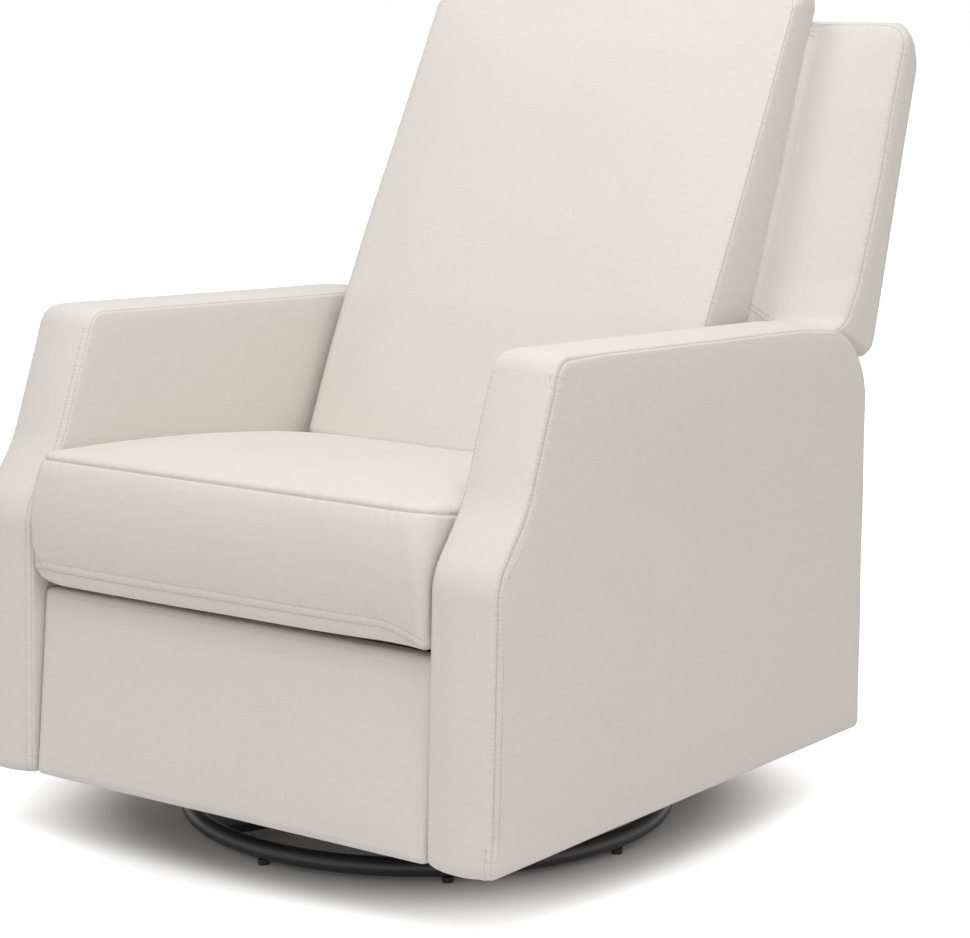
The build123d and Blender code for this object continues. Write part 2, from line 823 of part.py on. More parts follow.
def rear_plane_setback(z, depth_in=0):
    """Setback of the cushion's rear plane, or of a plane behind it, at a height."""
    lean = radians(back_lean)
    return back_plane_setback + depth_in / cos(lean) + (z - back_plane_z) * tan(lean)


def back_cushion():
    """Boxed cushion with a crowned face, thinner towards its rounded top."""
    foot = (back_tuck[0] + soft_gap, back_cushion_bottom)
    head = (back_tuck[0] + (height - back_tuck_z) * tan(radians(back_face_lean)), height)
    rear_head = (rear_plane_setback(height, -soft_gap), height)
    rear_foot = (rear_plane_setback(back_cushion_bottom, -soft_gap), back_cushion_bottom)
    bulge = ((back_tuck[0] + head[0]) / 2 - back_cushion_crown, (back_tuck_z + height) / 2)
    outline = make_face(Wire([
        Line(foot, back_tuck),
        ThreePointArc(back_tuck, bulge, head),
        Line(head, rear_head),
        Line(rear_head, rear_foot),
        Line(rear_foot, foot),
    ]))
    top_depth = rear_head[0] - head[0]
    outline = corner_rounded(outline, head, top_depth / 2)
    outline = corner_rounded(outline, rear_head, top_depth / 3)
    edge_radius = min(back_edge_radius, top_depth / 3.5)
    return edge_rounded(slab(outline, -back_half_width, back_half_width), Axis.X, edge_radius)


def cover_outline(inset=0):
    """Side view of the back's cover between the wings, or of the hollow inside it."""
    front = cover_front_wall if inset else 0
    knee = (back_rear - cover_knee_ahead, cover_knee_z - 2 * inset)
    rear_max = back_rear - inset
    corner = cover_corner - inset
    corner_middle = (rear_max - corner, cover_top - cover_corner)
    lean = radians(cover_rear_lean)
    shoulder = moved(corner_middle, (corner * cos(lean), -corner * sin(lean)))
    waist_z = cover_waist_z
    waist = (shoulder[0] - (shoulder[1] - waist_z) * tan(lean), waist_z)
    top = cover_top - inset
    bottom_z = cover_bottom_front_z - 2 * inset
    bottom_front = (rear_plane_setback(bottom_z, front), bottom_z)
    bottom_rear = (back_rear - cover_foot_ahead - inset, cover_foot_z - 2 * inset)
    return make_face(Wire([
        Line(bottom_front, (rear_plane_setback(top, front), top)),
        Line((rear_plane_setback(top, front), top), (corner_middle[0], top)),
        RadiusArc((corner_middle[0], top), shoulder, corner),
        Line(shoulder, waist),
        Line(waist, bottom_rear),
        Line(bottom_rear, knee),
        Line(knee, bottom_front),
    ]))


def wing_section(x, foot, front_top, rear_max, corner, lean, rear_foot_z):
    """Side view of a wing at one distance from the middle."""
    corner_middle = (rear_max - corner, cover_top - corner)
    lean = radians(lean)
    shoulder = moved(corner_middle, (corner * cos(lean), -corner * sin(lean)))
    rear_foot = (shoulder[0] - (shoulder[1] - rear_foot_z) * tan(lean), rear_foot_z)
    corner_start = (corner_middle[0], cover_top)
    return side_plane(x) * make_face(Wire([
        Line(foot, front_top),
        Line(front_top, corner_start),
        RadiusArc(corner_start, shoulder, corner),
        Line(shoulder, rear_foot),
        Line(rear_foot, foot),
    ]))


def wing():
    """Side wing, swept back from the cushion's edge to the back's outer edge."""
    inner_top = (rear_plane_setback(cover_top), cover_top)
    inner_foot = (back_rear - wing_inner_foot_ahead, wing_inner_foot_z)
    inner = wing_section(back_half_width, inner_foot, inner_top, back_rear,
                         cover_corner, cover_rear_lean, wing_inner_rear_foot_z)
    outer_foot = (back_rear - wing_foot_ahead, wing_foot_z)
    outer_top = (wing_rear_max - wing_tip, cover_top)
    outer = wing_section(width / 2 - wing_inset, outer_foot, outer_top, wing_rear_max,
                         wing_corner, wing_rear_lean, wing_rear_foot_z)
    return loft([inner, outer])


def back_cover():
    """Upholstered shell round the back's frame, with a wing on each side."""
    cover = slab(cover_outline(), -back_half_width, back_half_width)
    cover = cover + wing() + mirror(wing(), about=Plane.YZ)
    return cover - slab(cover_outline(cover_wall), cover_wall - back_half_width, back_half_width - cover_wall)


def rise_at(z, depth_in):
    """Rise along the leaning back at which a plane behind it reaches a height."""
    lean = radians(back_lean)
    return (z - back_plane_z + depth_in * sin(lean)) / cos(lean)


def back_frame():
    """Two posts with three rails between them, and a board under the cover's top."""
    post_x = crank_lane + plate_thickness
    front, rear = cover_front_wall, cover_front_wall + back_post_depth
    foot = rise_at(cover_bottom_front_z + back_board, rear)
    head = rise_at(cover_top - cover_wall, front)
    posts = both_sides([back_slab(post_x, post_x + back_post_width, front, rear, foot, head)])
    rail_front = front + back_rail_recess
    rails = []
    for number in range(back_rail_count):
        bottom = foot + number * (head - foot - back_rail_height) / (back_rail_count - 1)
        reach = crank_lane if number == 0 else post_x
        rails.append(back_slab(-reach, reach, rail_front, rear, bottom, bottom + back_rail_height))
    return posts + rails


def back_webbing():
    """Elastic straps stretched up the front of the back's rails."""
    front = cover_front_wall + back_rail_recess - webbing_thickness
    rear = cover_front_wall + back_rail_recess
    foot = rise_at(cover_bottom_front_z + back_board, cover_front_wall + back_post_depth)
    head = rise_at(cover_top - cover_wall, cover_front_wall)
    pitch = 2 * crank_lane / webbing_count
    straps = []
    for number in range(webbing_count):
        middle = -crank_lane + pitch * (number + 0.5)
        half = webbing_width / 2
        straps.append(back_slab(middle - half, middle + half, front, rear, foot, head))
    return straps


def recline_brackets():
    """Steel straps from the recline hinge up the posts' inner faces."""
    heights = (recline_bracket_foot_z, recline_bracket_top_z)
    points = [(rear_plane_setback(z, recline_bracket_depth), z) for z in heights]
    outline = bar([recline, *points], recline_eye)
    outline = drilled(outline, [recline], recline_pin_radius + fit_gap)
    return both_sides([slab(outline, crank_lane, crank_lane + plate_thickness)])


# ---------------------------------------------------------------- rear panel

def rear_panel():
    rear = arm_length - rear_panel_pad
    return block(-arm_inner_x, arm_inner_x, rear - rear_panel_board, rear, arm_bottom, rear_panel_top)


def rear_panel_cover():
    rear = arm_length - rear_panel_pad
    half = arm_inner_x - soft_gap
    return block(-half, half, rear, arm_length, arm_bottom, rear_panel_top)


# ---------------------------------------------------------------- the parts

write("base_ring", base_ring())
write("floor_glides", floor_glides())
write("base_cross_arms", cross_arms())
write("swivel_lower_race", lower_race())
write("swivel_balls", race_balls())
write("swivel_ball_cage", ball_cage())
write("swivel_king_bolt", king_bolt())
write("swivel_upper_race", upper_race())
write("turntable_straps", turntable_straps())
write("turntable_cross_rails", cross_rails())
write("glide_upper_pins", glide_upper_pins())
write("glide_lower_pins", glide_lower_pins())
write("mechanism_cross_tube", cross_tube())
write("idler_pivot_pins", idler_pivots())
write("recline_pivot_pins", recline_pivots())
write("seat_rail_angles", rail_angles())
write("seat_front_rail", front_rail())
write("seat_rear_rail", rear_rail())
write("seat_springs", [seat_spring(x) for x in spring_places()])
write("seat_spring_clips", spring_clips())
write("leg_drive_tube", drive_tube())
write("leg_crank_pins", crank_pins())
write("footrest_cushion", footrest_cushion())
write("footrest_board", footrest_panel())
write("footrest_brackets", footrest_brackets())
write("footrest_pins", footrest_pins())
write("arm_bolts", arm_bolts())
write("seat_cushion", seat_cushion())
write("back_cushion", back_cushion())
write("back_cover", back_cover())
write("back_frame", back_frame())
write("back_webbing", back_webbing())
write("recline_brackets", recline_brackets())
write("rear_panel_board", rear_panel())
write("rear_panel_cover", rear_panel_cover())

handed_parts = {
    "glide_posts": glide_posts(),
    "glide_link_front": glide_link(glide_setbacks[0]),
    "glide_link_rear": glide_link(glide_setbacks[1]),
    "side_plate": side_plate(),
    "seat_side_rail": side_rail(),
    "leg_crank": drive_crank(),
    "leg_idler": idler_crank(),
    "leg_carrier": carrier_link(),
    "leg_upper_link": upper_link(),
    "arm_frame": arm_frame(),
    "arm_cover": arm_cover(),
}
for name, solids in handed_parts.items():
    solids = solids if isinstance(solids, list) else [solids]
    write(name + "_left", solids)
    write(name + "_right", [mirror(solid, about=Plane.YZ) for solid in solids])
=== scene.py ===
import bpy
import bmesh
import math
import numpy as np
from mathutils import Matrix, Vector
from mathutils.bvhtree import BVHTree
from mathutils.kdtree import KDTree


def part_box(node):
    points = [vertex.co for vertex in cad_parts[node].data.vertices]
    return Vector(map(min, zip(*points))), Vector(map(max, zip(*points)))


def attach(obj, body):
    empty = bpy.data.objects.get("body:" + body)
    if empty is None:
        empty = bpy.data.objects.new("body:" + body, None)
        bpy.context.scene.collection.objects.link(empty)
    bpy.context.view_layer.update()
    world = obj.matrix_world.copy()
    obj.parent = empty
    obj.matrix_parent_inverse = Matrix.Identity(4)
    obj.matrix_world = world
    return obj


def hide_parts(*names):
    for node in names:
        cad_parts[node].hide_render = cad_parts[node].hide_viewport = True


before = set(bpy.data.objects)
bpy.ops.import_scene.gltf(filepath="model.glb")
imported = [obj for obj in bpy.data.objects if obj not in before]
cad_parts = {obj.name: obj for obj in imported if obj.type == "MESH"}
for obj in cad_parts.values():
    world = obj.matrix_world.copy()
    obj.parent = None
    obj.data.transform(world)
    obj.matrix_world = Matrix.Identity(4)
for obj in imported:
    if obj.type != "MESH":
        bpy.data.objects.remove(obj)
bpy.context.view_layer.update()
scene = bpy.context.scene
bpy.ops.object.select_all(action="DESELECT")

armLow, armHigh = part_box("arm_cover_left")
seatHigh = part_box("seat_cushion")[1]
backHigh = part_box("back_cushion")[1]
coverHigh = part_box("back_cover")[1]
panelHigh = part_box("rear_panel_cover")[1]
boardLow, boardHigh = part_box("rear_panel_board")
frontY = armLow.y  # plane of the arms' front feet
print("stage: frame loaded")


def getPoints(piece, what="co"):
    points = np.zeros(len(piece.data.vertices) * 3, np.float32)
    piece.data.vertices.foreach_get(what, points)
    return points.reshape(-1, 3).astype(float)


def setPoints(piece, points):
    piece.data.vertices.foreach_set("co", np.asarray(points, np.float32).ravel())
    piece.data.update()


def gridBlock(name, cuts):
    # a unit block cut into a grid, with its corner at the origin, and each point's place in the grid
    bpy.ops.object.select_all(action="DESELECT")
    bpy.ops.mesh.primitive_cube_add(size=1, location=(0.5, 0.5, 0.5))
    piece = bpy.context.object
    piece.name = name
    bpy.ops.object.transform_apply(location=True, rotation=True, scale=True)
    bpy.ops.object.mode_set(mode="EDIT")
    bpy.ops.mesh.select_mode(type="EDGE")
    for axis, count in enumerate(cuts):
        for cut in ((count,) if count <= 100 else (count // 2, 2)):
            mesh = bmesh.from_edit_mesh(piece.data)
            for edge in mesh.edges:
                along = edge.verts[1].co - edge.verts[0].co
                edge.select_set(abs(along[axis]) > 0.5 * along.length)
            bmesh.update_edit_mesh(piece.data)
            bpy.ops.mesh.subdivide(number_cuts=cut - 1)
    bpy.ops.object.mode_set(mode="OBJECT")
    return piece, np.rint(getPoints(piece) * np.array(cuts)).astype(int)


def ringValues(levels, numbers):
    # the values of each grid point's ring, one array for each value
    return np.array(levels)[numbers].T


def roundCorner(before, corner, after, radius, step=0.0015):
    before, corner, after = (np.array(p, float) for p in (before, corner, after))
    back = (before - corner) / np.linalg.norm(before - corner)
    ahead = (after - corner) / np.linalg.norm(after - corner)
    half = math.acos(max(-1, min(1, float(back @ ahead)))) / 2
    turn = math.pi - 2 * half
    if radius == 0 or turn < 1e-3:
        return [corner]
    reach = radius / math.tan(half)
    start, end = corner + back * reach, corner + ahead * reach
    middle = corner + (back + ahead) / np.linalg.norm(back + ahead) * radius / math.sin(half)
    count = max(7, int(radius * turn / step)) | 1
    shares = np.linspace(0, 1, count)[:, None]
    arm = (start - middle) * np.sin((1 - shares) * turn) + (end - middle) * np.sin(shares * turn)
    return list(middle + arm / math.sin(turn))


def outlineSides(corners, radii, splits):
    # a closed outline, clockwise from the foot of its low side, as four sides that meet at the split corners
    path, marks = [], []
    count = len(corners)
    for number in range(count):
        arc = roundCorner(corners[number - 1], corners[number], corners[(number + 1) % count], radii[number])
        if number in splits:
            marks.append(len(path) + len(arc) // 2)
        path.extend(arc)
    path = np.array(path)
    total = len(path)
    dense = []
    for start, end in zip(marks, marks[1:] + [marks[0] + total]):
        side = np.array([path[k % total] for k in range(start, end + 1)])
        lengths = np.concatenate([[0], np.cumsum(np.linalg.norm(np.diff(side, axis=0), axis=1))])
        places = np.linspace(0, lengths[-1], max(9, int(lengths[-1] / 0.002)))
        dense.append(np.stack([np.interp(places, lengths, side[:, k]) for k in (0, 1)], axis=1))
    ring = np.vstack([side[:-1] for side in dense])
    ahead = np.roll(ring, -2, axis=0) - np.roll(ring, 2, axis=0)
    ahead /= np.linalg.norm(ahead, axis=1)[:, None]
    normals = np.stack([-ahead[:, 1], ahead[:, 0]], axis=1)
    sides, first = [], 0
    for side in dense:
        places = [(first + k) % len(ring) for k in range(len(side))]
        sides.append((ring[places], normals[places]))
        first += len(side) - 1
    low, top, high, foot = sides
    return {"low": low, "top": top, "high": (high[0][::-1], high[1][::-1]),
            "foot": (foot[0][::-1], foot[1][::-1])}


def sidePoint(side, share, inset):
    points, normals = side
    places = np.linspace(0, 1, len(points))
    point = np.stack([np.interp(share, places, points[:, k]) for k in (0, 1)], axis=1)
    normal = np.stack([np.interp(share, places, normals[:, k]) for k in (0, 1)], axis=1)
    normal /= np.linalg.norm(normal, axis=1)[:, None]
    return point - normal * inset[:, None]


def outlinePoint(sides, u, v, inset):
    # a point of the patch between the four sides; on the patch's rim it lies on the inset outline
    zero, one = np.zeros_like(u), np.ones_like(u)
    low, high = sidePoint(sides["low"], v, inset), sidePoint(sides["high"], v, inset)
    foot, top = sidePoint(sides["foot"], u, inset), sidePoint(sides["top"], u, inset)
    c00, c01 = sidePoint(sides["low"], zero, inset), sidePoint(sides["low"], one, inset)
    c10, c11 = sidePoint(sides["high"], zero, inset), sidePoint(sides["high"], one, inset)
    u, v = u[:, None], v[:, None]
    patch = (1 - v) * foot + v * top + (1 - u) * low + u * high
    return patch - (1 - u) * (1 - v) * c00 - (1 - u) * v * c01 - u * (1 - v) * c10 - u * v * c11


def rimLevels(start, end, radius, angles):
    # heights and insets of a round rim that starts at a flat cap, by the angle turned from the cap
    way = 1 if end > start else -1
    return [(start + way * radius * (1 - math.cos(math.radians(a))), radius * (1 - math.sin(math.radians(a))))
            for a in angles]


def ringOrder(cells, cuts, level, axis, sides):
    # the grid places of one level's rim in order, along the sides that are named
    p, q = [k for k in range(3) if k != axis]
    orders = {"low": [(0, k) for k in range(cuts[q] + 1)],
              "top": [(k, cuts[q]) for k in range(cuts[p] + 1)],
              "high": [(cuts[p], k) for k in range(cuts[q], -1, -1)],
              "foot": [(k, 0) for k in range(cuts[p], -1, -1)]}
    places = []
    for side in sides:
        for pair in orders[side]:
            if not places or places[-1] != pair:
                places.append(pair)
    index = {tuple(cell): number for number, cell in enumerate(cells.tolist())}
    keys = []
    for a, b in places:
        key = [0, 0, 0]
        key[axis], key[p], key[q] = level, a, b
        keys.append(index[tuple(key)])
    return keys


def easeEnds(share, amount):
    # gathers evenly spaced shares towards both ends, where the corners are
    return share - amount * np.sin(2 * math.pi * share) / (2 * math.pi)


def ringedPoints(cells, cuts, axis, levels, cornersAt, easing):
    # the place of every grid point on its ring, each ring being an outline with rounded corners of its own
    p, q = [k for k in range(3) if k != axis]
    u, v = easeEnds(cells[:, p] / cuts[p], easing[0]), easeEnds(cells[:, q] / cuts[q], easing[1])
    flat = np.zeros((len(cells), 2))
    for number, level in enumerate(levels):
        here = np.nonzero(cells[:, axis] == number)[0]
        corners, radii = cornersAt(level)
        sides = outlineSides(corners, radii, (0, 1, 2, 3))
        flat[here] = outlinePoint(sides, u[here], v[here], np.zeros(len(here)))
    return flat


def rimRise(x, y, halfX, lowY, highY, soft):
    # rises steeply from the rim and levels out, with no crease at the corners
    across = 1 - np.exp(-np.clip(halfX - np.abs(x), 0, None) / soft)
    along = 1 - np.exp(-np.clip(np.minimum(y - lowY, highY - y), 0, None) / soft)
    return across * along


def rimDistance(flat, rim):
    # distance of points of a flat panel to its closed rim
    flat, rim = np.pad(flat, ((0, 0), (0, 1))), np.pad(rim, ((0, 0), (0, 1)))
    return seamDistance(flat, [np.concatenate([rim, rim[:1]])])[0]


def soften(piece, amount, length, seed):
    points, normals = getPoints(piece), getPoints(piece, "normal")
    setPoints(piece, points + normals * (waves(points, length, seed) * amount)[:, None])


def seamDistance(points, lines):
    # distance of every point to the nearest seam, how far along the seam that is, and the seam's number
    line = np.concatenate(lines)
    number = np.concatenate([np.full(len(part), k) for k, part in enumerate(lines)])
    steps = [np.concatenate([[0], np.cumsum(np.linalg.norm(np.diff(part, axis=0), axis=1))]) for part in lines]
    lengths = np.concatenate(steps)
    tree = KDTree(len(line))
    for k, spot in enumerate(line.tolist()):
        tree.insert(spot, k)
    tree.balance()
    nearest = np.array([tree.find(spot)[1] for spot in points.tolist()])
    best, along = np.full(len(points), 9.0), lengths[nearest].copy()
    before, after = np.clip(nearest - 1, 0, None), np.clip(nearest + 1, None, len(line) - 1)
    for first, second in ((before, nearest), (nearest, after)):
        apart = number[first] != number[second]
        first = np.where(apart, nearest, first)
        second = np.where(apart, nearest, second)
        way = line[second] - line[first]
        share = np.einsum("ij,ij->i", points - line[first], way) / np.maximum(np.einsum("ij,ij->i", way, way), 1e-14)
        share = np.clip(share, 0, 1)
        away = np.linalg.norm(points - line[first] - share[:, None] * way, axis=1)
        closer = away < best
        best[closer] = away[closer]
        along[closer] = (lengths[first] + share * (lengths[second] - lengths[first]))[closer]
    return best, along, number[nearest]


def waves(points, length, seed, count=9):
    # smooth unevenness between -1 and 1, from a few sine waves in fixed directions
    random = np.random.default_rng(seed)
    total = np.zeros(len(points))
    for _ in range(count):
        way = random.normal(size=3)
        way *= 2 * math.pi / length * random.uniform(0.6, 1.5) / np.linalg.norm(way)
        total += np.sin(points @ way + random.uniform(0, 6.28))
    return total / count


def sewSeams(piece, lines, depth=0.0011, reach=0.0028, pucker=0.00045, pitch=0.011, seed=1, mark=True):
    # sinks the cloth along each seam and gathers it in small uneven puckers beside the seam
    points, normals = getPoints(piece), getPoints(piece, "normal")
    away, along, which = seamDistance(points, lines)
    groove = depth * np.exp(-(away / reach) ** 2) + 0.5 * depth * np.exp(-(away / (4 * reach)) ** 2)
    beat = np.sin(2 * math.pi * along / pitch + 2.3 * np.sin(along * 37 + which) + seed)
    beat *= 0.55 + 0.45 * np.sin(along * 61 + 2 * seed)
    ramp = np.exp(-((away - 0.006) / 0.006) ** 2) * (away > 0.001)
    setPoints(piece, points - normals * (groove + pucker * beat * ramp)[:, None])
    # the distance to the seam and the place along it, read by the fabric for the painted shade in the seam's fold and
    # for the gathers' bump
    if mark:
        for name, values in (("seam", away), ("along", along + 0.37 * which)):
            layer = piece.data.attributes.new(name, "FLOAT", "POINT")
            layer.data.foreach_set("value", values.astype(np.float32))


def puff(piece, hold, cap, evened, pressure=4.0, frames=14, grow=-0.012):
    # blows the piece up as cloth; hold is 1 where it is sewn or pressed against something
    rest = getPoints(piece)
    group = piece.vertex_groups.new(name="held")
    steps = np.round(np.clip(hold, 0, 1) * 20).astype(int)
    for step in range(1, 21):
        group.add(np.nonzero(steps == step)[0].tolist(), step / 20, "REPLACE")
    bpy.context.view_layer.objects.active = piece
    cloth = piece.modifiers.new("Cloth", "CLOTH")
    cloth.settings.use_pressure = True
    cloth.settings.uniform_pressure_force = pressure
    cloth.settings.effector_weights.gravity = 0
    cloth.settings.quality = 4
    cloth.settings.mass = 0.3
    cloth.settings.shrink_min = grow
    cloth.settings.tension_stiffness = 25
    cloth.settings.compression_stiffness = 25
    cloth.settings.shear_stiffness = 10
    cloth.settings.bending_stiffness = 0.5
    cloth.settings.vertex_group_mass = "held"
    cloth.collision_settings.use_collision = False
    cloth.point_cache.frame_end = frames
    for number in range(1, frames + 1):
        scene.frame_set(number)
    shown = piece.evaluated_get(bpy.context.evaluated_depsgraph_get())
    blown = np.zeros(len(rest) * 3, np.float32)
    shown.data.vertices.foreach_get("co", blown)
    move = blown.reshape(-1, 3) - rest
    piece.modifiers.remove(cloth)
    piece.vertex_groups.remove(group)
    far = np.linalg.norm(move, axis=1)
    print("  puffed", piece.name, "by up to", round(float(far.max()) * 1000, 1), "mm, usually",
          round(float(np.median(far[steps == 0])) * 1000, 1), "mm")
    move *= (np.tanh(far / cap) * cap / np.maximum(far, 1e-9))[:, None]
    # the swelling is evened out over the cloth, so that no ledge stays beside what is held
    ends = np.zeros(len(piece.data.edges) * 2, np.int32)
    piece.data.edges.foreach_get("vertices", ends)
    ends = ends.reshape(-1, 2)
    here, there = np.concatenate([ends[:, 0], ends[:, 1]]), np.concatenate([ends[:, 1], ends[:, 0]])
    count = np.bincount(here, minlength=len(rest))
    for _ in range(evened):
        around = [np.bincount(here, weights=move[there, k], minlength=len(rest)) / count for k in range(3)]
        move = 0.5 * move + 0.5 * np.stack(around, axis=1)
    setPoints(piece, rest + move * (1 - np.clip(hold, 0, 1))[:, None])
    scene.frame_set(1)


def spotsAlong(line, spots):
    lengths = np.concatenate([[0], np.cumsum(np.linalg.norm(np.diff(line, axis=0), axis=1))])
    return np.stack([np.interp(spots, lengths, line[:, k]) for k in range(3)], axis=1), lengths[-1]


def stitchRow(name, surface, line, shift, body, pitch=0.0046, length=0.0033, thick=0.0012):
    # a row of thread stitches laid on the surface, shifted from a seam line
    tree = BVHTree.FromObject(surface, bpy.context.evaluated_depsgraph_get())
    _, total = spotsAlong(line, [0])
    spots = (np.arange(int(total / pitch)) + 0.5) * pitch
    at, ahead = spotsAlong(line, spots)[0], spotsAlong(line, spots + 0.002)[0]
    parts = []
    for start, end in zip((at + shift).tolist(), (ahead + shift).tolist()):
        place, normal, _, _ = tree.find_nearest(start)
        way = Vector(end) - Vector(start)
        across = normal.cross(way).normalized()
        if across.length < 0.5:
            continue
        turn = Matrix((across.cross(normal), across, normal)).transposed().to_4x4()
        parts.append(Matrix.Translation(place + normal * thick * 0.1) @ turn)
    bpy.ops.mesh.primitive_uv_sphere_add(segments=6, ring_count=5, radius=0.5)
    row = bpy.context.object
    row.name = row.data.name = name
    stitch = getPoints(row)[:, [2, 0, 1]] * np.array([length, thick, thick * 0.8])
    work = bmesh.new()
    work.from_mesh(row.data)
    one = [[vertex.index for vertex in face.verts] for face in work.faces]
    work.clear()
    for part in parts:
        turned = stitch @ np.array(part.to_3x3()).T + np.array(part.translation)
        corners = [work.verts.new(spot) for spot in turned.tolist()]
        for face in one:
            work.faces.new([corners[k] for k in face])
    bmesh.ops.recalc_face_normals(work, faces=work.faces[:])
    work.to_mesh(row.data)
    work.free()
    dressTrim(row, body)


def seamCord(name, surface, line, body, thick=0.0014, sunk=0.25):
    # the narrow ridge where two panels are sewn together
    tree = BVHTree.FromObject(surface, bpy.context.evaluated_depsgraph_get())
    curve = bpy.data.curves.new(name, "CURVE")
    curve.dimensions = "3D"
    path = curve.splines.new("POLY")
    path.points.add(len(line) - 1)
    for point, spot in zip(path.points, line.tolist()):
        place, normal, _, _ = tree.find_nearest(spot)
        point.co = (*(place - normal * thick * sunk), 1)
    curve.bevel_depth = thick / 2
    curve.bevel_resolution = 1
    curve.use_fill_caps = True
    cord = bpy.data.objects.new(name, curve)
    scene.collection.objects.link(cord)
    bpy.ops.object.select_all(action="DESELECT")
    cord.select_set(True)
    bpy.context.view_layer.objects.active = cord
    bpy.ops.object.convert(target="MESH")
    dressTrim(cord, body)


def dressTrim(piece, body):
    piece.data.shade_smooth()
    piece.data.materials.clear()
    piece.data.materials.append(threadFinish)
    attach(piece, body)


def finishPad(piece, body, nodes):
    bpy.ops.object.select_all(action="DESELECT")
    piece.select_set(True)
    bpy.context.view_layer.objects.active = piece
    bpy.ops.object.mode_set(mode="EDIT")
    bpy.ops.mesh.select_all(action="SELECT")
    bpy.ops.mesh.normals_make_consistent(inside=False)
    bpy.ops.uv.cube_project(cube_size=1.0, correct_aspect=False)
    bpy.ops.object.mode_set(mode="OBJECT")
    piece.data.shade_smooth()
    piece.data.materials.clear()
    piece.data.materials.append(creamFabric)
    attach(piece, body)
    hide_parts(*nodes)
    piece.select_set(False)
    print("  made", piece.name, len(piece.data.polygons), "faces")


def addNode(tree, kind, **values):
    node = tree.nodes.new(kind)
    for key, value in values.items():
        if key in node.inputs:
            node.inputs[key].default_value = value
        else:
            setattr(node, key, value)
    return node


def mathNode(tree, operation, first, second=None, clamp=False):
    node = tree.nodes.new("ShaderNodeMath")
    node.operation = operation
    node.use_clamp = clamp
    for number, value in enumerate((first, second)):
        if value is None:
            continue
        if isinstance(value, (int, float)):
            node.inputs[number].default_value = value
        else:
            tree.links.new(value, node.inputs[number])
    return node.outputs[0]


def newGroup(name, inputs, outputs):
    group = bpy.data.node_groups.new(name, "ShaderNodeTree")
    for label, kind, value in inputs:
        socket = group.interface.new_socket(name=label, in_out="INPUT", socket_type=kind)
        if value is not None:
            socket.default_value = value
    for label, kind in outputs:
        group.interface.new_socket(name=label, in_out="OUTPUT", socket_type=kind)
    return group, group.nodes.new("NodeGroupInput"), group.nodes.new("NodeGroupOutput")


def newMaterial(name):
    material = bpy.data.materials.new(name)
    material.use_nodes = True
    tree = material.node_tree
    return material, tree, tree.nodes["Principled BSDF"], tree.nodes.new("ShaderNodeTexCoord")


def mixColours(tree, share, first, second):
    # either colour may be a plain one or come from another node
    mix = addNode(tree, "ShaderNodeMix", data_type="RGBA")
    tree.links.new(share, mix.inputs["Factor"])
    for socket, colour in ((mix.inputs[6], first), (mix.inputs[7], second)):
        if isinstance(colour, bpy.types.NodeSocket):
            tree.links.new(colour, socket)
        else:
            socket.default_value = (*colour, 1)
    return mix.outputs[2]


def seenDirectly(tree):
    # 1 for what the camera sees, straight or in metal or glass
    path = tree.nodes.new("ShaderNodeLightPath")
    seen = mathNode(tree, "MAXIMUM", path.outputs["Is Camera Ray"], path.outputs["Is Glossy Ray"])
    return mathNode(tree, "MAXIMUM", seen, path.outputs["Is Transmission Ray"])


def addBump(tree, surface, height, strength, distance):
    bump = addNode(tree, "ShaderNodeBump", Strength=strength, Distance=distance)
    tree.links.new(height, bump.inputs["Height"])
    tree.links.new(bump.outputs["Normal"], surface.inputs["Normal"])


def stretchedNoise(tree, place, stretch, **values):
    spread = addNode(tree, "ShaderNodeMapping", vector_type="POINT")
    spread.inputs["Scale"].default_value = stretch
    tree.links.new(place, spread.inputs["Vector"])
    noise = addNode(tree, "ShaderNodeTexNoise", **values)
    tree.links.new(spread.outputs[0], noise.inputs["Vector"])
    return noise.outputs["Fac"]


def rampBetween(tree, value, low, high):
    ramp = addNode(tree, "ShaderNodeMapRange")
    ramp.inputs["From Min"].default_value = low
    ramp.inputs["From Max"].default_value = high
    tree.links.new(value, ramp.inputs["Value"])
    return ramp.outputs["Result"]


